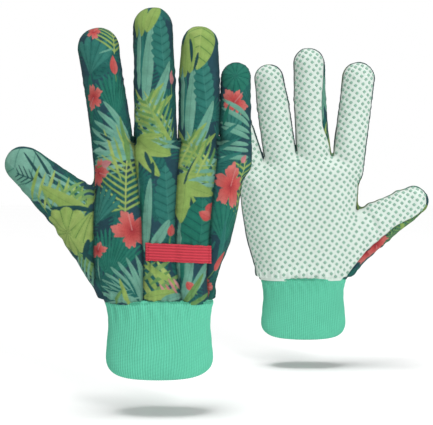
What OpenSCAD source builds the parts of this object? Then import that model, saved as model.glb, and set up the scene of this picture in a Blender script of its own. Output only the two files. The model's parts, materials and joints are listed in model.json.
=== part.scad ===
// A pair of right-hand gardening gloves standing on their cuffs.
// Glove frame: X runs from the thumb side to the little-finger side, +Y is the palm side,
// Z runs up from the cuff rim at Z = 0 to the middle fingertip.

/* [Fabric] */
// Thickness of the glove fabric
wall = 1.5; // [1.2:0.1:2]
// Gap between pieces that meet at a seam or a fold
gap = 0.4; // [0.3:0.1:0.6]
// Extra radius of a rounded fold end over the finger's half depth
fold_r_extra = 2; // [1.5:0.1:2.5]

/* [Cuff] */
// Width of the knit cuff
cuff_w = 68; // [62:1:74]
// Depth of the knit cuff, back to palm
cuff_d = 36; // [30:1:40]
// Height of the knit cuff
cuff_h = 45.5; // [40:0.5:48]
// Thickness of the doubled rib knit
cuff_wall = 2.6; // [2:0.1:3]
// Height of the overlock seam between cuff and hand
seam_h = 2.2; // [1.6:0.1:3]

/* [Hand] */
// Height of the wrist, where the hand is narrowest above the cuff
wrist_z = 70; // [66:1:76]
// Half depth of the hand at the wrist
wrist_half_d = 15; // [13:0.5:16]
// Height of the finger crotches
crotch_z = 150.5; // [148:0.5:152]
// Half depth of the hand at the crotches
crotch_half_d = 8.4; // [8:0.1:9.5]

/* [Fingers] */
// Half widths of the thumb, index, middle, ring and little finger
half_w = [14, 13.4, 13.5, 12.2, 11]; // [9:0.1:15]
// Half depths of the same five fingers
half_d = [8.6, 8, 8.2, 7.8, 7.4]; // [7:0.1:9]
// Share of a finger's length that lies below its middle fold
mid_share = [0.43, 0.46, 0.46, 0.46, 0.47]; // [0.4:0.01:0.5]

/* [Elastic] */
// Length of the elastic band across the back
elastic_w = 42.5; // [38:0.5:46]
// Width of the elastic band
elastic_h = 11.3; // [8:0.1:13]
// Thickness of the elastic band
elastic_t = 1.4; // [1:0.1:2]
// Height of the middle of the elastic band
elastic_z = 77.9; // [74:0.1:82]
// Tilt of the elastic band, down towards the little-finger side
elastic_tilt = 2.7; // [0:0.1:5]

/* [Front glove] */
// Sideways places of the root folds, thumb first
fold_x_front = [-59.2, -31, -2.4, 25.6, 49.2]; // [-64:0.1:52]
// Heights of the root folds
fold_z_front = [109.7, 157, 157, 156, 156]; // [90:0.1:158]
// Leans of the fingers towards the little-finger side, in degrees
lean_front = [-49.4, -8.9, -1.2, 0.6, 2]; // [-62:0.1:18]
// Lengths of the fingers above their root folds
len_front = [49, 65, 78, 67, 44]; // [42:0.5:80]

/* [Rear glove] */
// Sideways places of the root folds, thumb first
fold_x_rear = [-60, -38.7, -8.4, 19.3, 43.1]; // [-64:0.1:52]
// Heights of the root folds
fold_z_rear = [92, 156, 156, 155, 147.5]; // [90:0.1:158]
// Leans of the fingers towards the little-finger side, in degrees
lean_rear = [-60, -7.6, 2.4, 8, 17]; // [-62:0.1:18]
// Lengths of the fingers above their root folds
len_rear = [46, 68, 79, 67.5, 52.5]; // [42:0.5:80]
// Place of the rear glove's cuff centre, sideways and backwards
rear_place = [107, 150]; // [100:1:260]

/* [Hidden] */
$fn = 32;
FINGERS = ["thumb", "index", "middle", "ring", "little"];

print_colour = "teal";
palm_colour = "honeydew";
knit_colour = "mediumaquamarine";
elastic_colour = "crimson";

far = 400;
hand_z = cuff_h + gap + seam_h + gap;
slice = 0.01;

// The data of one glove, by name: fold places, fold heights, leans and finger lengths
function fold_x(glove) = glove == "front" ? fold_x_front : fold_x_rear;
function fold_z(glove) = glove == "front" ? fold_z_front : fold_z_rear;
function lean(glove) = glove == "front" ? lean_front : lean_rear;
function finger_len(glove) = glove == "front" ? len_front : len_rear;
function fold_r(i) = half_d[i] + fold_r_extra;

// Places a glove in the pair: the rear glove is turned half round, palm to the front
module place_glove(glove) {
    if (glove == "front") children();
    else translate([rear_place[0], rear_place[1], 0]) rotate([0, 0, 180]) children();
}

// Moves a finger's own frame, with its root fold at the origin, onto the hand
module place_finger(glove, i) {
    translate([fold_x(glove)[i], 0, fold_z(glove)[i]]) rotate([0, lean(glove)[i], 0]) children();
}

// A flat oval with straight sides: half width a, half depth b
module oval(a, b) {
    square([2 * (a - b), 2 * b], center = true);
    for (side = [-1, 1]) translate([side * (a - b), 0]) circle(r = b);
}

// A finger with a round tip, from below the root fold up to its length
module finger_form(a, b, tip_z, below) {
    translate([0, 0, -below]) linear_extrude(height = tip_z + below) oval(a, b);
    translate([0, 0, tip_z]) rotate([90, 0, 0]) rotate_extrude(angle = 180) intersection() {
        oval(a, b);
        translate([0, -b]) square([a, 2 * b]);
    }
}

// The hollow fabric of a whole finger
module finger_shell(glove, i) {
    a = half_w[i];
    b = half_d[i];
    tip_z = finger_len(glove)[i] - a;
    difference() {
        finger_form(a, b, tip_z, fold_r(i) + 1);
        finger_form(a - wall, b - wall, tip_z, fold_r(i) + 2);
    }
}

// The space that a fold's rounded end sweeps, at height z on the finger
module fold_space(i, z, r) {
    translate([-half_w[i] - 1, 0, z]) rotate([0, 90, 0]) cylinder(r = r, h = 2 * half_w[i] + 2);
}

// Everything above height z on the finger
module above(i, z) {
    translate([-half_w[i] - 1, -half_d[i] - 1, z]) cube([2 * half_w[i] + 2, 2 * half_d[i] + 2, far]);
}

// Everything on one side of the side seams: side is 1 for the palm, -1 for the back
module seam_side(side) {
    translate([-far / 2, side > 0 ? gap / 2 : -far / 2 - gap / 2, -far / 2]) cube([far, far / 2, far]);
}

// The part of a finger between its root fold and its middle fold
module root_segment(glove, i, side) {
    mid_z = mid_share[i] * finger_len(glove)[i];
    place_glove(glove) place_finger(glove, i) intersection() {
        difference() {
            finger_shell(glove, i);
            above(i, mid_z);
            fold_space(i, mid_z, fold_r(i) + gap);
        }
        union() {
            above(i, 0);
            fold_space(i, 0, fold_r(i));
        }
        seam_side(side);
    }
}

// The part of a finger above its middle fold
module tip_segment(glove, i, side) {
    mid_z = mid_share[i] * finger_len(glove)[i];
    place_glove(glove) place_finger(glove, i) intersection() {
        finger_shell(glove, i);
        union() {
            above(i, mid_z);
            fold_space(i, mid_z, fold_r(i));
        }
        seam_side(side);
    }
}

// A thin level slice of the hand between two side edges
module hand_slice(z, left, right, half) {
    for (x = [left + half, right - half]) translate([x, 0, z]) cylinder(r = half, h = slice);
}

// The hand without fingers, drawn smaller by inset on every side
module hand_form(glove, inset) {
    x = fold_x(glove);
    left = x[1] - half_w[1] - 1 + inset;
    right = x[4] + half_w[4] + 0.5 - inset;
    wrist_left = -44 + inset;
    wrist_right = 39 - inset;
    base_half_w = cuff_w / 2 - inset;
    hull() {
        hand_slice(hand_z - inset, -base_half_w, base_half_w, cuff_d / 2 - inset);
        hand_slice(wrist_z, wrist_left, wrist_right, wrist_half_d - inset);
    }
    hull() {
        hand_slice(wrist_z, wrist_left, wrist_right, wrist_half_d - inset);
        hand_slice(crotch_z + inset, left, right, crotch_half_d - inset);
    }
    hull() {
        hand_slice(wrist_z - 12 + inset, -40 + inset, 0, wrist_half_d - inset);
        hand_slice(108 - inset, -40 + inset, 0, 11 - inset);
        place_finger(glove, 0) translate([0, 0, -8 + inset]) linear_extrude(height = slice)
            oval(half_w[0] + 1 - inset, half_d[0] - inset);
    }
}

// The hollow hand, with a round socket left for each finger's root fold
module hand_shell(glove) {
    difference() {
        hand_form(glove, 0);
        hand_form(glove, wall);
        for (i = [0:4]) place_finger(glove, i) {
            fold_space(i, 0, fold_r(i) + gap);
            above(i, 0);
        }
        translate([-far / 2, -far / 2, hand_z - far]) cube([far, far, far]);
    }
}

// The line of a back seam from its crotch down to the cuff, as [x, z] points
function seam_line(glove, i) =
    let (x = fold_x(glove), crotch_x = (x[i] + half_w[i] + x[i + 1] - half_w[i + 1]) / 2)
    [[crotch_x, far], [crotch_x, crotch_z], [seam_mid[i - 1], 105], [seam_wrist[i - 1], elastic_z],
     [seam_cuff[i - 1], 0]];
seam_mid = [-11, 10.5, 33.5];
seam_wrist = [-9.5, 11.5, 31.5];
seam_cuff = [-9.3, 16, 32.5];

// The strip of the back between two seam lines, moved in by half the gap
module strip_space(left_line, right_line) {
    right = [for (k = [len(right_line) - 1:-1:0]) right_line[k] - [gap / 2, 0]];
    points = concat([for (p = left_line) p + [gap / 2, 0]], right);
    translate([0, -gap / 2, 0]) rotate([90, 0, 0]) linear_extrude(height = far / 2) polygon(points);
}

thumb_seam_line = [[-41, far], [-41, 0]];
little_edge_line = [[far / 2, far], [far / 2, 0]];

// One strip of the printed back: i is 1 for the index finger up to 4 for the little finger
module back_strip(glove, i) {
    left_line = i == 1 ? thumb_seam_line : seam_line(glove, i - 1);
    right_line = i == 4 ? little_edge_line : seam_line(glove, i);
    color(print_colour) place_glove(glove) intersection() {
        hand_shell(glove);
        strip_space(left_line, right_line);
    }
}

// The printed piece at the root of the thumb
module thumb_gusset(glove) {
    color(print_colour) place_glove(glove) intersection() {
        hand_shell(glove);
        strip_space([[-far / 2, far], [-far / 2, 0]], thumb_seam_line);
    }
}

// The dotted palm of the hand
module palm_panel(glove) {
    color(palm_colour) place_glove(glove) intersection() {
        hand_shell(glove);
        seam_side(1);
    }
}

// The doubled rib-knit tube around the wrist, resting on its rim
module knit_cuff(glove) {
    color(knit_colour) place_glove(glove) difference() {
        linear_extrude(height = cuff_h) oval(cuff_w / 2, cuff_d / 2);
        translate([0, 0, -1]) linear_extrude(height = cuff_h + 2)
            oval(cuff_w / 2 - cuff_wall, cuff_d / 2 - cuff_wall);
    }
}

// The overlock seam that joins the cuff to the hand
module cuff_seam(glove) {
    color(knit_colour) place_glove(glove) translate([0, 0, cuff_h + gap]) difference() {
        linear_extrude(height = seam_h) oval(cuff_w / 2 + 0.4, cuff_d / 2 + 0.4);
        translate([0, 0, -1]) linear_extrude(height = seam_h + 2)
            oval(cuff_w / 2 - wall, cuff_d / 2 - wall);
    }
}

// The gathered elastic sewn across the middle and ring strips
module elastic_band(glove) {
    stand_off = wrist_half_d + 0.6;
    color(elastic_colour) place_glove(glove)
        translate([(seam_wrist[0] + seam_wrist[2]) / 2, -stand_off, elastic_z])
            rotate([0, elastic_tilt, 0])
                translate([-elastic_w / 2, -elastic_t, -elastic_h / 2])
                    cube([elastic_w, elastic_t, elastic_h]);
}

module finger_piece(glove, i, segment, side) {
    color(side > 0 ? palm_colour : print_colour) {
        if (segment == "root") root_segment(glove, i, side);
        else tip_segment(glove, i, side);
    }
}

for (glove = ["front", "rear"]) {
    palm_panel(glove);
    thumb_gusset(glove);
    knit_cuff(glove);
    cuff_seam(glove);
    elastic_band(glove);
    for (i = [1:4]) back_strip(glove, i);
    for (i = [0:4], segment = ["root", "tip"]) {
        finger_piece(glove, i, segment, 1);
        finger_piece(glove, i, segment, -1);
    }
}
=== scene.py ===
"""Looks for a pair of right-hand gardening gloves: printed backs, dotted palms, rib-knit cuffs."""

import json
import math

import bpy
import numpy as np
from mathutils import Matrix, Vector, kdtree


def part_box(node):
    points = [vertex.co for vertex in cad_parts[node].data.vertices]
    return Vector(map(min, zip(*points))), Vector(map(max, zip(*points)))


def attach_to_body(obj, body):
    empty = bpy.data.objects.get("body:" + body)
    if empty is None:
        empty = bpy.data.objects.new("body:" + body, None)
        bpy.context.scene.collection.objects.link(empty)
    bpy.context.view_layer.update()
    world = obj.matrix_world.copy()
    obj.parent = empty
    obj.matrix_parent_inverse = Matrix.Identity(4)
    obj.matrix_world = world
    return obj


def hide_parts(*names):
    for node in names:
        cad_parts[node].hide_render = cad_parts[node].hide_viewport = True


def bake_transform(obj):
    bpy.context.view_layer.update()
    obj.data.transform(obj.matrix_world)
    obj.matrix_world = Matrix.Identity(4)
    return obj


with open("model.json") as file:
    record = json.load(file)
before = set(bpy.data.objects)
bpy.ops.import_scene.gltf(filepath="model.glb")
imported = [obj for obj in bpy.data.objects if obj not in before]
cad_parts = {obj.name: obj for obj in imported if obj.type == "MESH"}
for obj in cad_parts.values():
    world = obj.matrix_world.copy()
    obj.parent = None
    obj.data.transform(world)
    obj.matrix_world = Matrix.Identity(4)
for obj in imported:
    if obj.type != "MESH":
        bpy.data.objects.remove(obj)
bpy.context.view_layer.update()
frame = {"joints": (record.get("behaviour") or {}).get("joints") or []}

# All shapes are worked out in each glove's own frame, in millimetres: X from the thumb side to the
# little-finger side, +Y the palm side, Z up from the cuff rim. The rear glove is turned half round.
MM = 0.001
GLOVES = ["front", "rear"]
FINGERS = ["thumb", "index", "middle", "ring", "little"]

# ==== Sizes ====
CUFF_TOP = 48.3  # height of the seam between cuff and hand
NET_STEP = 2.0  # grid of the cloth mesh before it is subdivided twice
CAD_HALF_WIDTH = {"thumb": 14, "index": 13.4, "middle": 13.5, "ring": 12.2, "little": 11}

# Half widths of each finger at its root, its middle and its round tip, and its half depth
FINGER_FORM = {
    "thumb": ((17.7, 14.5, 12.4), 9.6),
    "index": ((13.6, 13.6, 13.4), 8.8),
    "middle": ((14.4, 14.1, 13.1), 9.0),
    "ring": ((13.8, 13.6, 12.1), 8.6),
    "little": ((10.5, 10.1, 9.9), 7.8),
}
# How far the cloth stands beside (x), behind (y) and beyond (z) the finger's own centre line
FINGER_SHIFT = {
    "front": {
        "thumb": (0.4, 0, 1.0),
        "index": (0, 0, 1.0),
        "middle": (-0.6, 0, 0.3),
        "ring": (-0.5, 0, 0.4),
        "little": (-1.5, 1.7, 0.6),
    },
    "rear": {
        "thumb": (-0.6, 0, 2.0),
        "index": (0.8, 0, 0.6),
        "middle": (0.8, 0, 0.6),
        "ring": (0.6, 0, 0.4),
        "little": (0.4, 0, 0.4),
    },
}
# The fleshy part of the hand that leads to the thumb: x, z and radius
THUMB_ROOT = {
    "front": [(-15, 48, 17.4), (-47, 97, 19.3)],
    "rear": [(-15, 46, 14), (-42.5, 80.5, 19.4)],
}
# Side edges of the palm without the thumb, as heights and places
PALM_RIGHT = {
    "front": [(40, 34), (60, 36.3), (72, 39.7), (85, 45.2), (103, 49.7), (119, 52.5), (140, 56), (155, 57.5)],
    "rear": [(40, 35), (56, 39), (69, 43), (82, 46.5), (102, 50), (125, 52.5), (145, 54), (155, 55)],
}
PALM_LEFT = {
    "front": [(40, -33), (60, -37), (95, -41.6), (130, -41.6), (155, -41)],
    "rear": [(40, -33), (60, -36.5), (110, -44.3), (120, -45), (136, -45.5), (155, -45)],
}
# Half depth of the hand and the width over which its side edges round off, by height
HAND_HALF_DEPTH = [(40, 16.6), (52, 16.4), (70, 14.5), (100, 13.5), (130, 11.4), (152, 8.8)]
HAND_ROUNDING = [(40, 17), (60, 19), (100, 22), (130, 19), (152, 13)]
# Height where the palm slab ends below the fingers, from the thumb side to the little-finger side
PALM_TOP = {
    "front": [(-60, 148.5), (60, 148.5)],
    "rear": [(-60, 148.5), (10, 148.5), (26, 145), (34, 139.5), (60, 139.5)],
}
# How widely each finger's root rounds into the hand
WEB = {"thumb": 4.5, "index": 2.2, "middle": 2.2, "ring": 2.2, "little": 2.2}
# How far each finger is drawn sideways while the cloth mesh is made, so that crotches stay open
SPREAD = {"thumb": 0.0, "index": -7.5, "middle": -2.5, "ring": 2.5, "little": 7.5}
SPREAD_START = 140  # height where the fingers start to be drawn apart
SPREAD_REACH = 24  # and the height over which they come fully apart

# Seams on the back: between the four strips, from the cuff to the crotches of the fingers
BACK_SEAMS = {
    "front": [
        [(40, -9.3), (72, -9.5), (105, -11), (151.8, -16.8)],
        [(40, 16), (72, 11.5), (105, 10.5), (149.2, 13.2)],
        [(40, 32.5), (72, 31.5), (105, 33.5), (151, 37.9)],
    ],
    "rear": [
        [(40, -9.3), (72, -9.5), (105, -13), (149.5, -22.4)],
        [(40, 16), (72, 11.5), (105, 9), (149.5, 5.5)],
        [(40, 32.5), (72, 31.5), (105, 31), (141, 31.2)],
    ],
}
STRIPS = ["index", "middle", "ring", "little"]
THUMB_SEAM = {"front": (-41.0, 63, 119), "rear": (-43.0, 58, 105)}

# Along the finger from its root fold: where the cloth pieces of hand and finger meet, and the span over which
# the cloth would bend at the root; and the same distance on both sides of the middle fold. These spans only
# set where a finger's root and tip pieces are cut apart
ROOT_CUT = -4.0
ROOT_BEND = (-4.0, 9.0)
MIDDLE_BEND = 8.0

PALM_SEAM_INSET = 0.95  # on the thumb side the palm cloth starts this far inside the outline
WRAP_THUMB = 6.4  # more of the printed cloth wraps round the thumb's lower edge
WRAP_MIDDLE = 5.2  # and round the thumb side of the middle finger

# The elastic tape on the back of the wrist: its two ends, its middle line and its size
ELASTIC_LOW, ELASTIC_HIGH = -8.0, 33.2
ELASTIC_MIDDLE = (ELASTIC_LOW + ELASTIC_HIGH) / 2
ELASTIC_HALF = (ELASTIC_HIGH - ELASTIC_LOW) / 2
ELASTIC_Z = 79.2
ELASTIC_SLOPE = math.tan(math.radians(-2.7))
ELASTIC_HEIGHT = 11.4
ELASTIC_THICK = 1.3
ELASTIC_CORDS = 6.5


# ==== Number helpers ====
def smooth_step(t):
    t = np.clip(t, 0, 1)
    return t * t * (3 - 2 * t)


def smooth_min(a, b, k):
    h = np.clip(0.5 + 0.5 * (b - a) / k, 0, 1)
    return b * (1 - h) + a * h - k * h * (1 - h)


def bell(x, width):
    return np.exp(-((x / width) ** 2))


def table_value(z, rows):
    """The value at height z of a list of (height, value) rows."""
    heights, values = zip(*rows)
    return np.interp(z, heights, values)


def lattice_value(cell, seed):
    """A repeatable pseudo-random value from 0 to 1 for each whole-number cell."""
    mix = cell[..., 0] * 374761393 + cell[..., 1] * 668265263 + cell[..., 2] * 1442695041 + seed * 974634777
    mix = (mix ^ (mix >> 13)) & 0xFFFFFFFF
    mix = (mix * 1274126177) & 0xFFFFFFFF
    return ((mix ^ (mix >> 16)) & 0xFFFF) / 65535.0


def noise(p, seed=0):
    """Smooth noise from -1 to 1 with features about one unit wide."""
    cell = np.floor(p).astype(np.int64)
    f = smooth_step(p - cell)
    total = np.zeros(len(p))
    for corner in np.ndindex(2, 2, 2):
        weight = np.prod(np.where(np.array(corner) == 1, f, 1 - f), axis=1)
        total += weight * lattice_value(cell + np.array(corner), seed)
    return total * 2 - 1


def noise_at(p, size, seed=0):
    return noise(p / np.asarray(size, float), seed)


def unit(v):
    return v / np.maximum(np.linalg.norm(v, axis=-1, keepdims=True), 1e-9)


# ==== The glove's form ====
def joint_place(name):
    return np.array(next(j for j in frame["joints"] if j["name"] == name)["pos_m"]) / MM


class Glove:
    """Where one glove is, and the centre lines of its fingers."""

    def __init__(self, name):
        low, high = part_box(f"{name}_knit_cuff")
        self.name = name
        self.centre = np.array([(low.x + high.x) / 2, (low.y + high.y) / 2, 0]) / MM
        self.turn = np.array([1.0, 1.0, 1.0]) if name == "front" else np.array([-1.0, -1.0, 1.0])
        self.root, self.middle, self.along, self.length, self.chain = {}, {}, {}, {}, {}
        for finger in FINGERS:
            root = self.local(joint_place(f"{name}_{finger}_root_fold"))
            middle = self.local(joint_place(f"{name}_{finger}_middle_fold"))
            along = unit(middle - root)
            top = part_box(f"{name}_{finger}_tip_back")[1].z / MM
            round_tip = CAD_HALF_WIDTH[finger]
            self.root[finger], self.middle[finger], self.along[finger] = root, middle, along
            self.length[finger] = (top - round_tip - root[2]) / along[2] + round_tip
            self.chain[finger] = self.make_chain(finger)

    def local(self, p):
        return (np.asarray(p) - self.centre) * self.turn

    def world(self, p):
        return (np.asarray(p) * self.turn + self.centre) * MM

    def world_point(self, p):
        return tuple(float(c) for c in self.world(p))

    def middle_place(self, finger):
        """How far the middle fold is from the root fold, along the finger."""
        return float((self.middle[finger] - self.root[finger]) @ self.along[finger])

    def make_chain(self, finger):
        """Points (x, z, radius, y) down the middle of a finger, from inside the hand to its tip."""
        (r_root, r_mid, r_tip), _ = FINGER_FORM[finger]
        shift_x, shift_y, extra = FINGER_SHIFT[self.name][finger]
        length = self.length[finger] + (0 if finger == "thumb" else extra)
        lift = extra if finger == "thumb" else 0

        def at(s, r, share):
            p = self.root[finger] + self.along[finger] * s
            return (p[0] + shift_x * share, p[2] + lift * share, r, shift_y * share)

        if finger == "thumb":
            start = [(x, z, r, 0) for x, z, r in THUMB_ROOT[self.name]]
        else:
            start = [at(-20, r_root, 0)]
        return start + [at(0, r_root, 0.6), at(length * 0.5, r_mid, 1), at(length - r_tip, r_tip, 1)]


def spread_ramp(z):
    return smooth_step((z - SPREAD_START) / SPREAD_REACH)


def nearest_on_chain(chain, x, z):
    """The chain's nearest place to each point: distance, radius, y offset and the direction outward."""
    best = np.full(x.shape, 1e9)
    found = [np.zeros(x.shape) for _ in range(5)]
    for (x0, z0, r0, y0), (x1, z1, r1, y1) in zip(chain, chain[1:]):
        dx, dz = x1 - x0, z1 - z0
        t = np.clip(((x - x0) * dx + (z - z0) * dz) / (dx * dx + dz * dz), 0, 1)
        ex, ez = x - (x0 + t * dx), z - (z0 + t * dz)
        d = np.maximum(np.hypot(ex, ez), 1e-6)
        r = r0 + (r1 - r0) * t
        take = d - r < best
        best = np.where(take, d - r, best)
        new = (d, r, y0 + (y1 - y0) * t, ex / d, ez / d)
        found = [np.where(take, value, old) for value, old in zip(new, found)]
    return found


def palm_part(glove, x, z):
    """The palm slab: distance inside its outline, rounding width, half depth and outward side."""
    left = x - table_value(z, PALM_LEFT[glove.name])
    right = table_value(z, PALM_RIGHT[glove.name]) - x
    top = table_value(x, PALM_TOP[glove.name]) - z
    inside = smooth_min(smooth_min(left, right, 4), top, 6)
    side = np.where(left < right, -1.0, 1.0)
    return inside, table_value(z, HAND_ROUNDING), table_value(z, HAND_HALF_DEPTH), side


def finger_places(glove, x, z):
    """Each finger's nearest centre place, with the finger's own sideways spread taken out first."""
    return [nearest_on_chain(glove.chain[f], x - SPREAD[f] * spread_ramp(z), z) for f in FINGERS]


def sideways_shift(places, z):
    """How far each point of the spread shape stands from its true place."""
    gaps = np.stack([dist - radius for dist, radius, *_ in places])
    weights = np.exp(-(gaps - gaps.min(0)) / 0.7)
    weights /= weights.sum(0)
    return (weights * np.array([[SPREAD[f]] for f in FINGERS])).sum(0) * spread_ramp(z)


def part_fields(glove, p):
    """For the palm and each finger: field, distance inside the outline, rounding, outward x, z and depth."""
    x, y, z = p.T
    places = finger_places(glove, x, z)
    inside, rounding, depth, side = palm_part(glove, x - sideways_shift(places, z), z)
    rho = np.hypot(1 - np.minimum(inside / rounding, 1), y / depth)
    parts = [((rho - 1) * depth, inside, rounding, side, np.zeros(len(p)), depth)]
    for finger, (dist, radius, shift_y, out_x, out_z) in zip(FINGERS, places):
        depth = FINGER_FORM[finger][1]
        if finger == "thumb":
            depth = depth + 4 * smooth_step((110 - z) / 50)
        blunt = 1 + 0.06 * (finger != "thumb")
        rho = np.hypot((dist / radius) ** blunt, (y - shift_y) / depth)
        parts.append(((rho - 1) * depth, radius - dist, radius, out_x, out_z, depth * np.ones(len(p))))
    return parts


def glove_field(glove, p):
    """Negative inside the glove and positive outside, roughly in millimetres, in the spread shape."""
    parts = part_fields(glove, p)
    field = parts[0][0]
    for finger, part in zip(FINGERS, parts[1:]):
        field = smooth_min(field, part[0], WEB[finger])
    return field


def gather_fingers(glove, p):
    """Takes the sideways spread out again."""
    x, z = p[:, 0], p[:, 2]
    out = p.copy()
    out[:, 0] -= sideways_shift(finger_places(glove, x, z), z)
    return out


# ==== Mesh building ====
NET_LOW = (-112.0, -24.0, 36.0)  # corners of the box in which the form is sampled
NET_HIGH = (84.0, 24.0, 246.0)
CLOTH_TUCK = 3  # how far the cloth runs on below the cuff seam, inside the cuff
NEWTON_STEPS = 4  # how often the points are drawn onto the form's surface
PROBE = 0.05  # distance over which the field's slope is measured
LEAST_SLOPE = 0.05


def surface_net(field, origin, step):
    """Quads on the zero surface of a sampled field: one vertex in each cell that the surface crosses."""
    cells = np.array(field.shape) - 1
    total = np.zeros((*cells, 3))
    count = np.zeros(cells)
    crossings = []
    for axis in range(3):
        low, high = [slice(None)] * 3, [slice(None)] * 3
        low[axis], high[axis] = slice(None, -1), slice(1, None)
        a, b = field[tuple(low)], field[tuple(high)]
        index = np.argwhere((a < 0) != (b < 0))
        va, vb = a[tuple(index.T)], b[tuple(index.T)]
        place = index.astype(float)
        place[:, axis] += va / (va - vb)
        u, v = [k for k in range(3) if k != axis]
        around = []
        for du, dv in ((0, 0), (-1, 0), (-1, -1), (0, -1)):
            cell = index.copy()
            cell[:, u] += du
            cell[:, v] += dv
            around.append(cell)
            np.add.at(total, tuple(cell.T), place)
            np.add.at(count, tuple(cell.T), 1)
        crossings.append((axis, va < 0, around))
    active = count > 0
    number = np.full(count.shape, -1)
    number[active] = np.arange(active.sum())
    verts = origin + step * total[active] / count[active][:, None]
    quads = []
    for axis, starts_inside, around in crossings:
        q = np.stack([number[tuple(cell.T)] for cell in around], axis=1)
        flip = starts_inside if axis == 1 else ~starts_inside
        q[flip] = q[flip][:, ::-1]
        quads.append(q)
    return verts, np.concatenate(quads)


def compact(quads, *columns):
    """Drops vertices that no quad uses."""
    used, inverse = np.unique(quads, return_inverse=True)
    return inverse.reshape(quads.shape), *[c[used] for c in columns]


def base_mesh(glove):
    """The smooth glove form as quads, in the spread shape, open at the cuff."""
    axes = [np.arange(a, b + NET_STEP, NET_STEP) for a, b in zip(NET_LOW, NET_HIGH)]
    grid = np.stack(np.meshgrid(*axes, indexing="ij"), axis=-1)
    field = glove_field(glove, grid.reshape(-1, 3)).reshape(grid.shape[:3])
    field[:, :, 0] = 1.0  # closes the sheet below the cuff seam, where it is cut away again
    verts, quads = surface_net(field, np.array(NET_LOW), NET_STEP)
    for _ in range(NEWTON_STEPS):
        f = glove_field(glove, verts)
        grad = np.stack([(glove_field(glove, verts + e) - f) / PROBE for e in PROBE * np.eye(3)], axis=1)
        step = -(f / np.maximum((grad**2).sum(1), LEAST_SLOPE))[:, None] * grad
        verts = verts + np.clip(step, -1, 1) * 0.9
    keep = (verts[quads][:, :, 2] > CUFF_TOP - CLOTH_TUCK).all(axis=1)
    quads, verts = compact(quads[keep], verts)
    return verts, quads


def catmull_clark(values, quads):
    """One subdivision of quads, for all columns of values at once."""
    n = len(values)
    face = values[quads].mean(1)
    corners = np.stack([quads, np.roll(quads, -1, axis=1)], axis=2).reshape(-1, 2)
    edges, inverse = np.unique(np.sort(corners, axis=1), axis=0, return_inverse=True)
    inverse = inverse.reshape(-1)
    inner = np.bincount(inverse, minlength=len(edges)) == 2
    mid = values[edges].mean(1)
    edge_face = np.zeros_like(mid)
    np.add.at(edge_face, inverse, np.repeat(face, 4, axis=0))
    edge_point = np.where(inner[:, None], (mid * 2 + edge_face) / 4, mid)
    valence = np.maximum(np.bincount(quads.ravel(), minlength=n), 1)[:, None]
    face_sum, mid_sum, rim_sum = (np.zeros_like(values) for _ in range(3))
    np.add.at(face_sum, quads.ravel(), np.repeat(face, 4, axis=0))
    np.add.at(mid_sum, edges.ravel(), np.repeat(mid, 2, axis=0))
    np.add.at(rim_sum, edges[~inner].ravel(), np.repeat(mid[~inner], 2, axis=0))
    spokes = np.maximum(np.bincount(edges.ravel(), minlength=n), 1)[:, None]
    smooth = (face_sum / valence + 2 * mid_sum / spokes + (valence - 3) * values) / valence
    border = np.zeros(n, bool)
    border[edges[~inner].ravel()] = True
    moved = np.where(border[:, None], rim_sum / 4 + values / 2, smooth)
    e = inverse.reshape(-1, 4) + n
    f = np.arange(len(quads)) + n + len(edges)
    parts = [np.stack([quads[:, i], e[:, i], f, e[:, i - 1]], axis=1) for i in range(4)]
    return np.concatenate([moved, edge_point, face]), np.concatenate(parts)


def vertex_normals(verts, quads):
    a, b, c, d = (verts[quads[:, i]] for i in range(4))
    face = np.cross(c - a, d - b)
    out = np.zeros_like(verts)
    for i in range(4):
        np.add.at(out, quads[:, i], face)
    return unit(out)


def new_mesh_object(name, verts, faces):
    """A smooth-shaded Blender object from vertices in metres and faces of one size."""
    faces = np.asarray(faces, np.int32)
    mesh = bpy.data.meshes.new(name)
    mesh.vertices.add(len(verts))
    mesh.vertices.foreach_set("co", np.asarray(verts, np.float32).ravel())
    mesh.loops.add(faces.size)
    mesh.loops.foreach_set("vertex_index", faces.ravel())
    mesh.polygons.add(len(faces))
    mesh.polygons.foreach_set("loop_start", np.arange(0, faces.size, faces.shape[1], dtype=np.int32))
    mesh.polygons.foreach_set("use_smooth", np.ones(len(faces), bool))
    mesh.update(calc_edges=True)
    obj = bpy.data.objects.new(name, mesh)
    bpy.context.scene.collection.objects.link(obj)
    return obj


# ==== Cloth simulation ====
SIM_SCALE = 10.0  # the cloth is simulated ten times larger, where the solver's units suit it
SIM_FRAMES = 20
SIM_MAX_MOVE = 1.5
SIM_SMOOTHING = 3  # how many times each point's move is evened out with its neighbours'
SIM_SETTINGS = {
    "quality": 5,
    "mass": 0.05,
    "tension_stiffness": 8,
    "compression_stiffness": 8,
    "shear_stiffness": 4,
    "bending_stiffness": 0.4,
    "use_pressure": True,
    "uniform_pressure_force": 2.0,
    "shrink_min": -0.02,  # the panels are cut this share larger than the form, so they buckle between seams
}


def held_share(sheet):
    """How firmly each point is held: fully at the cuff, the elastic and the seams."""
    x, y, z = sheet.rest.T
    held = smooth_step((CUFF_TOP + 2.5 - z) / 2)
    under_elastic = (np.abs(z - ELASTIC_Z) < ELASTIC_HEIGHT / 2) & (y < 0)
    under_elastic &= (x > ELASTIC_LOW) & (x < ELASTIC_HIGH)
    seams = np.maximum(bell(sheet.back, 2.0), bell(sheet.side, 1.6))
    return np.maximum.reduce([held, under_elastic * 0.9, seams * 0.8])


def evened(values, quads):
    """Each point's values moved half way to the average of the quads around it."""
    total, count = np.zeros_like(values), np.zeros((len(values), 1))
    middle = values[quads].mean(axis=1)
    for corner in range(4):
        np.add.at(total, quads[:, corner], middle)
        np.add.at(count, quads[:, corner], 1)
    return (values + total / np.maximum(count, 1)) / 2


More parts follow.
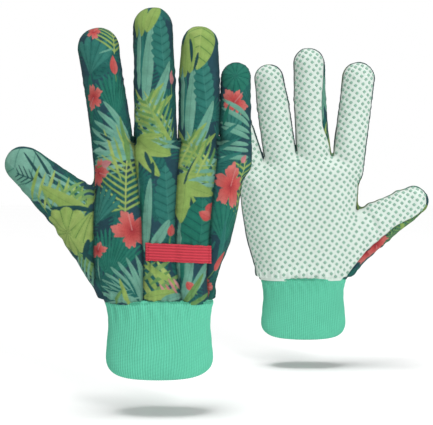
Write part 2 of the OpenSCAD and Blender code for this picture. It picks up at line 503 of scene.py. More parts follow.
def simulate_cloth(sheet, quads):
    """Blows the glove up a little with Blender's cloth solver and returns where each point went."""
    rest = sheet.rest
    obj = new_mesh_object(f"{sheet.glove.name}_cloth_trial", rest * MM * SIM_SCALE, quads)
    group = obj.vertex_groups.new(name="held")
    for index, share in enumerate(held_share(sheet)):
        if share > 0.02:
            group.add([index], float(share), "REPLACE")
    cloth = obj.modifiers.new("cloth", "CLOTH")
    settings = cloth.settings
    for name, value in SIM_SETTINGS.items():
        setattr(settings, name, value)
    settings.vertex_group_mass = "held"
    settings.effector_weights.gravity = 0
    cloth.collision_settings.use_collision = False
    scene = bpy.context.scene
    for number in range(1, SIM_FRAMES + 1):
        scene.frame_set(number)
    result = obj.evaluated_get(bpy.context.evaluated_depsgraph_get()).data
    moved = np.empty(len(rest) * 3, np.float32)
    result.vertices.foreach_get("co", moved)
    scene.frame_set(1)
    bpy.data.objects.remove(obj, do_unlink=True)
    step = moved.reshape(-1, 3) / (MM * SIM_SCALE) - rest
    for _ in range(SIM_SMOOTHING):
        step = evened(step, quads)
    size = np.linalg.norm(step, axis=1, keepdims=True)
    return rest + step * np.minimum(1, SIM_MAX_MOVE / np.maximum(size, 1e-6))


# ==== What each point of the cloth is: its finger, its place in the print, its distance to the seams ====
class Sheet:
    """Facts about every vertex of a glove's cloth, worked out from its smooth shape before wrinkles."""

    def __init__(self, glove, rest, spread):
        self.glove, self.rest = glove, rest
        x, y, _ = rest.T
        parts = part_fields(glove, spread)
        fields = np.stack([p[0] for p in parts])
        weights = np.exp(-(fields - fields.min(0)) / 1.6)
        weights /= weights.sum(0)
        self.owner = np.argmin(fields, axis=0)
        inside = parts[0][1]
        for finger, part in zip(FINGERS, parts[1:]):
            inside = -smooth_min(-inside, -part[1], WEB[finger])
        self.edge = inside
        self.depth = sum(w * p[5] for w, p in zip(weights, parts))
        out_x, out_z = (sum(w * p[k] for w, p in zip(weights, parts)) for k in (3, 4))
        self.outward = unit(np.stack([out_x, np.zeros(len(x)), out_z + 1e-6], axis=1))
        self.u, self.v = self.unrolled(parts, weights, y > 0)
        self.palm_u, self.palm_v = self.unrolled(parts, weights, np.zeros(len(x), bool))
        width = self.wrap_width()
        high = y - 0.62 * self.depth
        self.side_gap = np.where(width < 1.6, np.maximum(self.edge - width, high), self.edge - width)
        self.back = self.back_seam_distance()
        self.side = np.where(y > 0, np.abs(self.side_gap), 20.0)

    def unrolled(self, parts, weights, beyond):
        """Flat coordinates of the cloth as if peeled off the form; beyond marks points past its edge."""
        x, _, z = self.rest.T
        u, v = np.zeros(len(x)), np.zeros(len(x))
        for weight, (_, inside, radius, out_x, out_z, _) in zip(weights, parts):
            ratio = np.clip(1 - inside / radius, 0, 1)
            angle = np.where(beyond, np.pi - np.arcsin(ratio), np.arcsin(ratio))
            push = radius * (angle - ratio) + 2 * np.maximum(inside - radius, 0) * beyond
            u += weight * (x + out_x * push)
            v += weight * (z + out_z * push)
        return u, v

    def wrap_width(self):
        """How far inside the outline the palm cloth starts."""
        x, _, z = self.rest.T
        width = 0.25 + (PALM_SEAM_INSET - 0.25) * smooth_step((0.2 - self.outward[:, 0]) / 0.5)
        thumb_side = smooth_step((-self.outward[:, 0] * 0.7 - self.outward[:, 2] * 0.75 - 0.1) / 0.5)
        thumb = (self.owner == 1) | ((self.owner == 0) & (x < 0) & (z < 66))
        reach = 0.45 + 0.55 * smooth_step((z - 46) / 30)
        reach *= 1 - 0.75 * smooth_step((self.along("thumb") - 8) / 26)
        width += thumb * thumb_side * WRAP_THUMB * reach
        middle_side = smooth_step((-self.outward[:, 0] - 0.2) / 0.6) * (self.owner == 3)
        belly = smooth_step((228 - z) / 45) * smooth_step((z - 153) / 22)
        return width + middle_side * WRAP_MIDDLE * belly

    def back_seam_distance(self):
        """Distance to the nearest seam on the back of the hand."""
        x, y, z = self.rest.T
        best = np.full(len(x), 30.0)
        for seam in BACK_SEAMS[self.glove.name]:
            top_z, top_x = seam[-1]
            below = np.abs(x - table_value(z, seam))
            above = np.hypot(x - top_x, z - top_z)
            best = np.minimum(best, np.where(z < top_z, below, above))
        thumb_x, low, high = THUMB_SEAM[self.glove.name]
        beyond = np.maximum(np.maximum(low - z, z - high), 0)
        best = np.minimum(best, np.hypot(x - thumb_x, beyond))
        return np.where(y < 0, best, 30.0)

    def along(self, finger):
        return (self.rest - self.glove.root[finger]) @ self.glove.along[finger]


# ==== Seams, gathers and creases ====
def folds(position, size, z, seed):
    """Rounded upright folds with uneven spacing along a position in millimetres, from -1 to 1."""
    wander = noise_at(np.stack([position, z * 0.25, np.zeros_like(z)], axis=1), 9, seed)
    return np.sin(2 * np.pi * (position / size + 0.55 * wander))


def elastic_reach(sheet):
    """1 along the elastic tape on the back, 0 beyond its ends; and the height above its middle line."""
    x, y, z = sheet.rest.T
    along = x - ELASTIC_MIDDLE
    above = z - ELASTIC_Z - ELASTIC_SLOPE * along
    return smooth_step((ELASTIC_HALF + 3 - np.abs(along)) / 5) * (y < 0), above


def elastic_gathers(sheet):
    """The pinch under the elastic tape, and the folds that fan out above and below it."""
    x, _, z = sheet.rest.T
    across, above = elastic_reach(sheet)
    pinch = -1.3 * bell(above, 11)
    clear = np.maximum(np.abs(above) - ELASTIC_HEIGHT / 2 + 1.5, 0)
    waves = folds(x, 6.4, z, seed=3) * 0.75 + folds(x, 3.7, z, seed=5) * 0.35
    return across * (pinch + waves * np.exp(-clear / 7.5) * 0.85)


def cuff_gathers(sheet):
    """Upright folds where the cloth is drawn in to the cuff, with a tuck and a roll above the seam."""
    _, y, z = sheet.rest.T
    above = np.maximum(z - CUFF_TOP, 0)
    side = np.where(y < 0, sheet.u, sheet.palm_u)
    waves = folds(side, 5.2, z, seed=11) * 0.6 + folds(side, 2.9, z, seed=13) * 0.3
    tuck = -1.5 * smooth_step((2.6 - (z - CUFF_TOP)) / 2.6)
    roll = 0.8 * bell(above - 4, 3.5)
    return waves * np.exp(-above / 6.5) * smooth_step(above / 1.5) + tuck + roll


def seam_valleys(sheet):
    """Sunken seam lines with a soft valley and small puckers on both sides."""
    z = sheet.rest[:, 2]
    pucker = folds(z, 4.6, z, seed=21) * 0.22 * np.exp(-sheet.back / 3.2) * smooth_step(sheet.back / 0.8)
    across, above = elastic_reach(sheet)
    pressed = across * smooth_step((12 - np.abs(above)) / 8)
    back = -1.15 * bell(sheet.back, 3.4) * (1 - 0.85 * pressed) - 0.75 * bell(sheet.back, 0.7)
    rows = sheet.v + sheet.u
    ruffle = folds(rows, 3.6, rows, seed=23) * 0.16
    side_pucker = ruffle * np.exp(-sheet.side / 2.2) * smooth_step(sheet.side / 0.5)
    side = -0.55 * bell(sheet.side, 0.65)
    return back + side + pucker + side_pucker


def creases(sheet):
    """Soft wrinkles of cloth that has been worn on a hand, deeper across the thumb's root."""
    p, glove = sheet.rest, sheet.glove
    on_fingers = smooth_step((p[:, 2] - 140) / 20)
    long_ones = noise_at(p, (7, 11, 24), seed=31) * (0.45 - 0.2 * on_fingers)
    small = noise_at(p, (4.2, 5, 7.5), seed=33) * 0.13
    thumb = sheet.along("thumb")
    across = np.sin(thumb * 0.62 + 1.7 * noise_at(p, 14, seed=35)) * bell(thumb + 4, 12)
    thumb_creases = across * 0.45 * (sheet.owner == 1)
    knuckle = np.zeros(len(p))
    for number, finger in enumerate(FINGERS[1:], start=2):
        s = sheet.along(finger) - np.linalg.norm(glove.middle[finger] - glove.root[finger])
        bend = np.sin(s * 0.9 + 1.3 * noise_at(p, 9, seed=37)) * bell(s, 9)
        knuckle += bend * 0.2 * (sheet.owner == number)
    return long_ones + small + thumb_creases + knuckle


def detailed(sheet, verts, quads):
    """The cloth with its seams sunk in and its gathers and creases raised."""
    normals = vertex_normals(verts, quads)
    move = elastic_gathers(sheet) + cuff_gathers(sheet) + seam_valleys(sheet) + creases(sheet)
    return verts + normals * move[:, None]


# ==== The printed pattern ====
def linear(*rgb):
    """Screen colour from 0 to 255 to the renderer's linear colour."""
    c = np.array(rgb, float) / 255
    return np.where(c <= 0.04045, c / 12.92, ((c + 0.055) / 1.055) ** 2.4)


INK_STRENGTH = 0.6  # how bright the inks come out on the cloth
INK_EDGE = 0.35  # softness of a printed outline
# Each tone is the leaf's main colour, its veins and shadows, and its lit side
TONES = {
    "teal": (linear(48, 122, 112), linear(30, 84, 82), linear(72, 142, 130)),
    "fern": (linear(34, 118, 100), linear(28, 76, 78), linear(58, 136, 118)),
    "sea": (linear(112, 174, 152), linear(52, 112, 102), linear(144, 194, 176)),
    "lime": (linear(146, 180, 96), linear(64, 116, 66), linear(178, 200, 118)),
    "moss": (linear(106, 154, 90), linear(48, 96, 58), linear(140, 180, 112)),
    "dark": (linear(38, 78, 80), linear(30, 60, 64), linear(46, 92, 90)),
    "shade": (linear(36, 106, 98), linear(32, 76, 80), linear(50, 116, 108)),
    "coral": (linear(208, 88, 86), linear(166, 50, 60), linear(224, 132, 124)),
    "pink": (linear(204, 128, 132), linear(190, 88, 96), linear(222, 164, 160)),
}
GROUND = linear(40, 74, 84)
GROUND_LIGHT = linear(50, 88, 100)


def cover(distance):
    """Ink cover from a signed distance: 1 inside the shape and 0 outside."""
    return np.clip(0.5 - distance / INK_EDGE, 0, 1)


def past_rim(s, t, half, length):
    """Signed distance past the rim of a shape that runs from 0 to its length, of a given half width."""
    return np.maximum.reduce([np.abs(t) - half, -s, s - length])


def off_middle(phase):
    """Place within one repeat, from -0.5 to 0.5."""
    return phase - np.floor(phase) - 0.5


class Print:
    """Ink laid over a patch of cloth, one motif after another."""

    def __init__(self, u, v):
        self.u, self.v = u, v
        flat = np.stack([u, v, np.zeros_like(u)], axis=1)
        shade = (0.5 + 0.5 * noise_at(flat, 17, seed=51))[:, None]
        self.ink = GROUND * (1 - shade) + GROUND_LIGHT * shade
        self.mottle = 1 + 0.08 * noise_at(flat, 3.1, seed=53) + 0.05 * noise_at(flat, 1.1, seed=55)
        self.undergrowth()

    def undergrowth(self):
        """Dim ferns and leaves that fill the ground behind the bright ones."""
        for column in range(-8, 9):
            for row in range(2, 17):
                x = column * 13 + 5 * math.sin(row * 2.3 + column)
                z = row * 16 + 6 * math.sin(column * 1.7 + row * 0.6)
                lean = 60 * math.sin(column * 2.9 + row * 1.3)
                if (column + row) % 3 == 0:
                    self.leaf(x, z - 9, lean, 21, 9, "shade", pitch=3)
                elif (column + row) % 3 == 1:
                    self.fan(x, z - 8, lean, 17, 90, 8, "shade", notch=0.4, vein=0.25)
                else:
                    self.frond(x, z - 9, lean, 19, 8, "shade", pitch=2.6, fill=0.6)

    def near(self, x, z, angle, reach):
        """Points near a motif, with their place along it and across it."""
        where = np.nonzero(np.hypot(self.u - x, self.v - z) < reach)[0]
        a = math.radians(angle)
        du, dv = self.u[where] - x, self.v[where] - z
        return where, du * math.sin(a) + dv * math.cos(a), du * math.cos(a) - dv * math.sin(a)

    def lay(self, where, alpha, colour):
        self.ink[where] += alpha[:, None] * (colour - self.ink[where])

    def blade(self, x, z, angle, length, width, tone, bend=0.0):
        """One long pointed leaf with a lit side and a thin dark rib."""
        where, s, t = self.near(x, z, angle, length + abs(bend) + width)
        share = np.clip(s / length, 0, 1)
        t = t - bend * share**2
        half = width / 2 * (4 * share * (1 - share)) ** 0.55 * (1 - 0.25 * share)
        outside = past_rim(s, t, half, length)
        mid, dark, light = TONES[tone]
        lit = smooth_step(t / width + 0.5)[:, None]
        colour = mid * (1 - 0.35 * lit) + light * 0.35 * lit
        self.lay(where, cover(outside), colour)
        if width > 4:
            self.lay(where, cover(outside) * 0.35 * cover(np.abs(t) - 0.2), dark)

    def frond(self, x, z, angle, length, width, tone, pitch=3.0, fill=0.55, slope=0.7):
        """A feathered palm leaf: thin leaflets slanting up from a middle rib."""
        where, s, t = self.near(x, z, angle, length + width)
        root = s - np.abs(t) * slope
        share = np.clip(root / length, 0, 1)
        reach = width * np.sin(np.pi * (0.18 + 0.8 * share)) ** 0.6
        taper = np.sqrt(np.clip(1 - np.abs(t) / np.maximum(reach, 0.1), 0, 1))
        phase = root / pitch
        off = off_middle(phase) * pitch / math.hypot(1, slope)
        half = 0.5 * pitch * fill / math.hypot(1, slope) * (0.35 + 0.65 * taper)
        outside = np.maximum.reduce([np.abs(off) - half, np.abs(t) - reach, -root, root - length])
        mid, _, light = TONES[tone]
        shade = 0.5 + 0.5 * np.sin(np.floor(phase) * 2.4)
        colour = mid + (light - mid) * 0.5 * shade[:, None]
        self.lay(where, cover(outside), colour)
        self.lay(where, cover(past_rim(s, t, 0.4, length)), light)

    def fan(self, x, z, angle, length, spread, count, tone, notch=0.3, vein=0.28):
        """A palmate leaf: wedge-shaped lobes round one point, each with a rib, and dark cuts between."""
        where, s, t = self.near(x, z, angle, length * 1.1)
        turn = np.degrees(np.arctan2(t, s))
        r = np.hypot(s, t)
        place = (turn / spread + 0.5) * count
        off = np.abs(off_middle(place)) * 2
        rim = length * (1 - notch * off**2.2) * (1 - 0.12 * np.abs(turn / spread * 2) ** 2)
        aside = (np.abs(turn) - spread / 2) * np.pi / 180 * r if spread < 360 else -5.0
        outside = np.maximum(r - rim, aside)
        mid, dark, light = TONES[tone]
        lobe = 0.5 + 0.5 * np.sin(np.floor(place) * 2.1 + 0.6)
        colour = mid + (light - mid) * (0.35 * lobe + 0.3 * (1 - off))[:, None]
        self.lay(where, cover(outside), colour)
        wide = r * math.radians(spread / count) / 2
        cut = wide * (1 - off) - vein * np.clip(r / length, 0.35, 1)
        rib = wide * off - vein * 0.6
        self.lay(where, cover(outside) * cover(cut) * 0.8, dark)
        self.lay(where, cover(outside) * cover(rib) * 0.4, light)

    def leaf(self, x, z, angle, length, width, tone, pitch=4.5, scallop=0.0, bend=0.0):
        """A broad leaf with side veins; its rim may be scalloped."""
        where, s, t = self.near(x, z, angle, length + width)
        share = np.clip(s / length, 0, 1)
        t = t - bend * np.sin(np.pi * share)
        root = s - np.abs(t) * 0.55
        phase = root / pitch
        off = np.abs(off_middle(phase)) * 2
        half = width / 2 * np.sin(np.pi * share**0.8) ** 0.7 * (1 - scallop * off**1.5)
        outside = past_rim(s, t, half, length)
        mid, dark, light = TONES[tone]
        lit = (0.5 + 0.5 * np.tanh(t * 1.5))[:, None]
        shade = (0.5 * (1 - off))[:, None]
        colour = mid + (light - mid) * (0.35 * lit + 0.5 * shade)
        self.lay(where, cover(outside), colour)
        vein = (1 - off) * pitch / 2 - 0.35
        self.lay(where, cover(outside) * cover(vein) * 0.65, dark)
        self.lay(where, cover(outside) * cover(np.abs(t) - 0.3) * 0.6, light)

    def bars(self, x, z, angle, length, width, tone, pitch=3.6, fill=0.5):
        """Straight narrow leaves side by side, which make a trellis where two sets cross."""
        where, s, t = self.near(x, z, angle, math.hypot(length, width))
        phase = t / pitch
        number = np.floor(phase)
        off = np.abs(off_middle(phase)) * pitch
        ends = length / 2 * (0.8 + 0.2 * np.sin(number * 2.7 + 1))
        taper = np.clip((ends - np.abs(s)) / length * 3.2, 0, 1) ** 0.6
        outside = np.maximum.reduce([off - pitch * fill / 2 * taper, np.abs(t) - width / 2, np.abs(s) - ends])
        mid, _, light = TONES[tone]
        colour = mid + (light - mid) * (0.4 + 0.4 * np.sin(number * 1.9))[:, None]
        self.lay(where, cover(outside), colour)

    def bloom(self, x, z, radius, turn):
        """An open five-petalled flower with ruffled petals, dark throat and a pale stamen."""
        where, s, t = self.near(x, z, turn, radius * 1.5)
        r = np.hypot(s, t)
        a = np.arctan2(t, s)
        petal = np.abs(np.cos(2.5 * a)) ** 0.55
        ragged = 1 + 0.07 * np.sin(13 * a + x) + 0.05 * np.sin(23 * a + z)
        rim = radius * (0.46 + 0.54 * petal) * ragged * (1 + 0.16 * np.sin(a * 2 + x))
        mid, dark, light = TONES["coral"]
        out = np.clip(r / radius, 0, 1)[:, None]
        colour = mid + (light - mid) * np.clip(out * 1.5 - 0.55, 0, 1) * 0.9
        colour = colour + (dark - colour) * np.clip(1 - out * 3, 0, 1) * 0.9
        self.lay(where, cover(r - rim), colour)
        streak = np.abs(np.sin(7.5 * a)) * r * 0.3 - 0.16
        self.lay(where, cover(r - rim) * cover(streak) * 0.55 * cover(r - radius * 0.85), dark)
        stamen = past_rim(s, t - 0.15 * s, 0.35, radius * 0.95)
        self.lay(where, cover(stamen) * 0.5, TONES["pink"][2])

    def bud(self, x, z, angle, length, width, tone="coral"):
        """A closed flower bud on a short green stalk."""
        where, s, t = self.near(x, z, angle, length * 1.8)
        stalk = past_rim(-s, t, 0.4, length * 0.7)
        self.lay(where, cover(stalk), TONES["moss"][0])
        share = np.clip(s / length, 0, 1)
        half = width / 2 * np.sin(np.pi * share**0.75) ** 0.8
        mid, dark, light = TONES[tone]
        lit = smooth_step(t / width + 0.5)[:, None]
        outside = past_rim(s, t, half, length)
        self.lay(where, cover(outside), mid + (light - mid) * 0.6 * lit)
        self.lay(where, cover(outside) * cover(np.abs(t) - 0.15) * 0.5, dark)

    def colours(self):
        return np.clip(self.ink * self.mottle[:, None], 0, 1) * INK_STRENGTH


def print_thumb(ink):
    ink.fan(-106, 84, -20, 22, 100, 6, "lime", notch=0.2)
    for number in range(5):
        ink.frond(-72 - number * 6, 74 + number * 4, -135 + number * 12, 24, 9, "moss", pitch=3.2)
    ink.blade(-84, 84, -150, 26, 4, "lime")
    ink.bloom(-76, 50, 11, 40)
    ink.blade(-70, 36, -40, 20, 6, "sea")
    ink.blade(-52, 40, -30, 26, 6, "teal")
    ink.leaf(-70, 116, -52, 42, 40, "sea", pitch=13)
    ink.blade(-66, 123, -28, 26, 2.4, "dark")
    ink.blade(-71, 122, -34, 25, 2.2, "dark")
    ink.frond(-77, 124.5, -72, 13, 6, "dark", pitch=3.2, fill=0.4, slope=0.9)
    ink.bars(-62, 116, -62, 38, 26, "sea", pitch=4.8, fill=0.52)
    ink.bars(-62, 116, 18, 30, 38, "lime", pitch=5.0, fill=0.42)
    ink.bars(-62, 114, -20, 24, 30, "moss", pitch=5.6, fill=0.3)
    ink.bars(-50, 118, 48, 24, 12, "moss", pitch=3.4, fill=0.6)
    ink.blade(-45, 106, -72, 32, 10, "lime", bend=5)
    ink.blade(-42, 106.5, -86, 27, 4.4, "dark", bend=-2)
    ink.blade(-47, 104, -110, 18, 9, "sea", bend=-2)
    ink.fan(-58, 91, 0, 17, 360, 11, "lime", notch=0.12, vein=0.32)
    ink.fan(-43, 106, 200, 22, 46, 3, "lime", notch=0.1)
    ink.fan(-52, 80, 150, 20, 70, 4, "moss", notch=0.25)
    ink.blade(-44, 88, 195, 14, 4, "dark")
    ink.blade(-46, 79, 140, 9, 3.6, "dark")
    ink.blade(-62, 80, 140, 26, 3.4, "dark", bend=-2)
    ink.frond(-40, 50, -38, 26, 12, "sea", pitch=3.6, fill=0.62)


def print_index(ink):
    ink.fan(-44, 191, 12, 25, 76, 5, "teal", notch=0.2)
    ink.frond(-26.5, 205, -3, 24, 16, "lime", pitch=3.5, fill=0.5, slope=0.62)
    ink.blade(-27, 208.5, -112, 11, 1.2, "sea")
    ink.bloom(-41.5, 220, 5.6, 20)
    ink.bud(-26.5, 192, -8, 12, 6.4)
    ink.fan(-27, 163, -2, 29, 62, 9, "fern", notch=0.35, vein=0.3)
    ink.blade(-46, 160, 4, 32, 6, "fern")
    ink.bloom(-42, 177, 7.2, 200)
    for number in range(7):
        lean = -24 - 13 * number
        ink.blade(-16, 147 - number * 1.2, lean, 33 - number * 0.6, 4.8, "sea", bend=-6 + number * 1.5)
    ink.blade(-46, 158, 118, 22, 3.2, "sea", bend=2)
    ink.bars(-31, 139, 80, 36, 21, "sea", pitch=4.4, fill=0.6)
    ink.bars(-23, 143, -20, 36, 19, "lime", pitch=4.2, fill=0.46)
    ink.blade(-18.5, 134, -10, 32, 3.6, "moss")
    ink.blade(-30, 150, -60, 9, 2.2, "dark")
    ink.blade(-33, 144, -66, 9, 2.0, "dark")
    ink.frond(-20.5, 104, 1, 33, 24, "lime", pitch=4.0, fill=0.42, slope=0.62)
    ink.blade(-21, 107, -100, 16, 1.4, "lime")
    ink.bloom(-41, 129, 8.6, 90)
    ink.bud(-37, 134, 75, 8, 5, "pink")
    ink.fan(-41, 97, 14, 25, 84, 7, "teal", notch=0.25)
    ink.fan(-31, 64, 8, 31, 92, 15, "fern", notch=0.4, vein=0.24)
    ink.bloom(-16, 93.5, 12, -22)
    ink.bloom(-38, 81, 5.2, 10)
    ink.blade(-38, 62, 0, 14, 1.2, "sea")
    for number in range(8):
        lean = 4 - 12 * number
        ink.blade(-8, 43 + number * 0.7, lean, 35 - number * 0.5, 4.6, "sea", bend=-8 + number * 1.2)
    for number in range(5):
        ink.blade(-11, 46 + number * 1.5, -12 - 15 * number, 26, 1.5, "shade", bend=-7 + number)
    ink.bars(-24, 51, 78, 30, 9, "sea", pitch=3.4, fill=0.5)
    ink.blade(-17, 45, -20, 20, 3.2, "lime")
    ink.blade(-28, 47, 30, 12, 2.6, "moss")


def print_column(ink, x, z):
    """The tall blades, lobed leaves and trellis that the middle and ring strips share."""
    ink.blade(x - 11.5, z + 182, 1, 42, 5.0, "sea", bend=-1)
    ink.blade(x - 9, z + 184, 1, 34, 2.6, "teal")
    ink.blade(x - 6.5, z + 172, 3, 53, 8.2, "sea", bend=2)
    ink.leaf(x + 6.5, z + 190, -6, 40, 15, "teal", pitch=5, scallop=0.22)
    ink.blade(x - 13.5, z + 237, 184, 22, 6, "lime")
    ink.blade(x - 8.5, z + 240, 182, 25, 8, "lime")
    ink.blade(x + 2.5, z + 240, 200, 24, 9, "lime")
    ink.blade(x - 6, z + 162, 27, 42, 8, "sea", bend=-2)
    ink.bars(x - 2, z + 160, 62, 30, 34, "sea", pitch=7, fill=0.8)
    ink.blade(x - 13, z + 166, 43, 28, 3.6, "lime")
    ink.blade(x - 14, z + 160, 58, 34, 5, "lime", bend=-2)
    ink.bars(x - 4, z + 163, -38, 48, 17, "lime", pitch=5.6, fill=0.62)
    ink.frond(x + 9, z + 142, -24, 38, 15, "moss", pitch=4.6, fill=0.6, slope=0.9)
    ink.blade(x - 13, z + 152, 84, 18, 4.5, "lime")
    ink.blade(x + 12, z + 146, -32, 26, 3.4, "lime")
    ink.bars(x + 9, z + 148, 90, 18, 5, "sea", pitch=5, fill=0.9)
    ink.leaf(x + 9, z + 94, -4, 40, 17, "teal", pitch=5, scallop=0.22)
    ink.blade(x - 14.5, z + 152, 155, 30, 9.5, "lime", bend=-5)
    ink.blade(x - 14.5, z + 152, 132, 26, 12, "lime", bend=-8)
    ink.blade(x - 14.5, z + 151, 178, 26, 6, "lime", bend=-2)
    ink.blade(x - 7, z + 143, 158, 14, 3, "dark")
    ink.blade(x - 1.5, z + 136, 178, 12, 2.6, "dark")
    ink.blade(x - 12.5, z + 84, 1, 42, 4.4, "sea", bend=1)
    ink.blade(x - 9.5, z + 86, 1, 36, 4.2, "fern", bend=1)
    ink.blade(x - 6, z + 80, 2, 46, 6.4, "sea", bend=1.5)
    ink.blade(x - 4, z + 80, 38, 24, 7.4, "sea", bend=-2)
    ink.bud(x + 9.7, z + 90, 8, 7.5, 4.4)


def print_middle(ink):
    ink.bars(-38, 150, 20, 50, 26, "lime", pitch=6, fill=0.6)
    ink.bars(-38, 150, -35, 46, 26, "moss", pitch=6, fill=0.5)
    ink.blade(-34, 184, -8, 36, 13, "sea")
    ink.blade(-44, 176, -4, 40, 11, "sea")
    ink.fan(-37, 146, 0, 16, 120, 6, "lime")
    print_column(ink, -2, 0)
    ink.bud(11, 186, 0, 9, 4, "pink")
    ink.bars(-1, 62, -36, 30, 20, "lime", pitch=5, fill=0.66)
    ink.bars(3, 62, 55, 26, 26, "moss", pitch=5.4, fill=0.55)
    ink.blade(-9, 72, 120, 24, 4, "lime")
    ink.bars(8, 58, -32, 12, 12, "pink", pitch=3, fill=0.5)
    ink.blade(-9, 52, 80, 20, 7, "lime")
    ink.blade(2, 50, 75, 14, 6, "sea")


def print_ring(ink):
    print_column(ink, 24.5, -25)
    ink.leaf(28, 230, 186, 36, 22, "lime", pitch=7)
    ink.blade(19, 218, 176, 22, 8, "lime")
    ink.blade(19.5, 214, 168, 15, 2.6, "dark", bend=2)
    ink.blade(25, 205, 190, 12, 2.2, "dark", bend=1)
    ink.leaf(25, 80, 4, 34, 26, "fern", pitch=5.5, bend=1)
    ink.blade(17, 128, 180, 30, 9, "lime", bend=3)
    ink.bars(30, 128, 84, 24, 12, "sea", pitch=4.6, fill=0.6)
    ink.blade(16, 122, 20, 20, 2.2, "dark", bend=2)
    ink.bars(22, 138, 28, 26, 14, "lime", pitch=4.4, fill=0.42)
    ink.bud(31, 104, 30, 8, 6.5)
    ink.bud(33, 101, -62, 8.5, 6.5)
    ink.blade(15.5, 48, 10, 27, 6.4, "sea", bend=1)
    ink.bud(21.5, 57, -40, 6, 5)
    ink.blade(15, 47, 40, 24, 4.6, "moss", bend=-2)
    ink.blade(19, 46, 60, 16, 4, "moss")


def print_little(ink):
    ink.fan(48.5, 191, 10, 11.5, 360, 12, "fern", notch=0.15, vein=0.3)
    ink.bloom(48, 174, 8.8, 30)
    ink.fan(45, 152, 10, 18, 60, 5, "teal", notch=0.3)
    for number in range(7):
        lean = -48 - number * 8 + 5 * math.sin(number * 2.6)
        ink.blade(60, 163 - number * 3.9, lean, 25 - number * 0.7, 3.5, "sea", bend=-4 + number)
    for number in range(3):
        ink.blade(37, 136 + number * 7, 62 - number * 9, 17, 3, "teal", bend=2)
    ink.blade(40, 160, 20, 14, 3, "fern")
    ink.frond(57, 96, -2, 40, 15, "lime", pitch=4.2, fill=0.42, slope=0.6)
    ink.fan(42, 84, 8, 31, 84, 9, "fern", notch=0.35, vein=0.26)
    ink.blade(40, 66, 6, 34, 5, "teal")
    ink.bloom(46, 121, 12.2, 8)
    ink.bud(38, 68, 38, 15, 6)
    ink.bloom(31.8, 58, 6.4, 90)
    ink.blade(33, 46, 40, 12, 4, "teal")
    ink.bud(53, 136, 40, 6, 4, "pink")


PRINTS = {
    "thumb": print_thumb,
    "index": print_index,
    "middle": print_middle,
    "ring": print_ring,
    "little": print_little,
}


# ==== Materials ====
class Nodes:
    """A short way to build one material's nodes."""

    def __init__(self, name, roughness, sheen, sheen_tint):
        self.material = bpy.data.materials.new(name)
        self.material.use_nodes = True
        self.tree = self.material.node_tree
        self.shader = self.tree.nodes["Principled BSDF"]
        self.shader.inputs["Roughness"].default_value = roughness
        self.shader.inputs["Specular IOR Level"].default_value = 0.08
        self.shader.inputs["Sheen Weight"].default_value = sheen
        self.shader.inputs["Sheen Roughness"].default_value = 0.5
        self.shader.inputs["Sheen Tint"].default_value = (*sheen_tint, 1)

    def add(self, kind, **values):
        node = self.tree.nodes.new(kind)
        for key, value in values.items():
            if hasattr(node, key):
                setattr(node, key, value)
            else:
                node.inputs[key.replace("_", " ")].default_value = value
        return node

    def link(self, out, target):
        self.tree.links.new(out, target)

    def math(self, operation, a, b):
        node = self.add("ShaderNodeMath", operation=operation)
        for socket, value in zip(node.inputs, (a, b)):
            if isinstance(value, (int, float)):
                socket.default_value = value
            else:
                self.link(value, socket)
        return node.outputs[0]

    def attribute(self, name, output):
        return self.add("ShaderNodeAttribute", attribute_name=name).outputs[output]

    def texture(self, kind, vector, scale, **values):
        """A texture of scale 1 on a vector that is first multiplied by the given scale."""
        mapping = self.add("ShaderNodeMapping", Scale=scale)
        self.link(vector, mapping.inputs["Vector"])
        node = self.add(kind, Scale=1.0, **values)
        self.link(mapping.outputs[0], node.inputs["Vector"])
        return node.outputs["Fac"]

    def noise(self, vector, scale, detail):
        return self.texture("ShaderNodeTexNoise", vector, scale, Detail=detail)

    def wave(self, vector, scale, direction):
        return self.texture("ShaderNodeTexWave", vector, scale, bands_direction=direction, Distortion=0.25)

    def weave(self, cloth, across, up):
        """Fine threads that cross at right angles, at the given distances in millimetres."""
        threads = self.wave(cloth, (WAVE / across, 1, 1), "X")
        return self.math("MULTIPLY", threads, self.wave(cloth, (1, WAVE / up, 1), "Y"))

    def total(self, base, *shares):
        """A base value plus each value times its share."""
        tone = None
        for value, share in shares:
            part = self.math("MULTIPLY", value, share)
            tone = self.math("ADD", tone, part) if tone else part
        return self.math("ADD", tone, base)

    def shade(self, colour, amount):
        """Colour made darker or lighter by a factor."""
        node = self.add("ShaderNodeVectorMath", operation="SCALE")
        if isinstance(colour, tuple):
            node.inputs[0].default_value = colour
        else:
            self.link(colour, node.inputs[0])
        self.link(amount, node.inputs["Scale"])
        return node.outputs[0]

    def finish(self, colour, height, depth):
        """Joins up the colour and a bump of the given depth in millimetres."""
        bump = self.add("ShaderNodeBump", Strength=1.0, Distance=depth * MM)
        self.link(height, bump.inputs["Height"])
        self.link(bump.outputs[0], self.shader.inputs["Normal"])
        self.link(colour, self.shader.inputs["Base Color"])
        return self.material


# One unit of the cloth attribute is a millimetre; a wave texture of scale 1 repeats every 0.314 units
WAVE = 0.314
WHITE = (1, 1, 1)


def printed_material():
    """Light cotton canvas: the print, a fine plain weave, uneven patches, and painted light that makes the
    high spots of the weave and fuzz slightly lighter.
    """
    n = Nodes("printed_canvas", 0.9, 0.04, (0.8, 0.95, 0.9))
    cloth = n.attribute("cloth", "Vector")
    weave = n.weave(cloth, 0.9, 0.9)
    patches = n.noise(cloth, (0.12, 0.12, 1), 4.0)
    fuzz = n.noise(cloth, (1.6, 1.6, 1), 3.0)
    # Painted light and shade: the weave and fuzz, which also make the bump, lighten the colour on their high
    # spots and darken it in their hollows
    tone = n.total(0.66, (weave, 0.14), (patches, 0.3), (fuzz, 0.3))
    colour = n.shade(n.attribute("print", "Color"), tone)
    return n.finish(colour, n.math("ADD", weave, fuzz), 0.07)


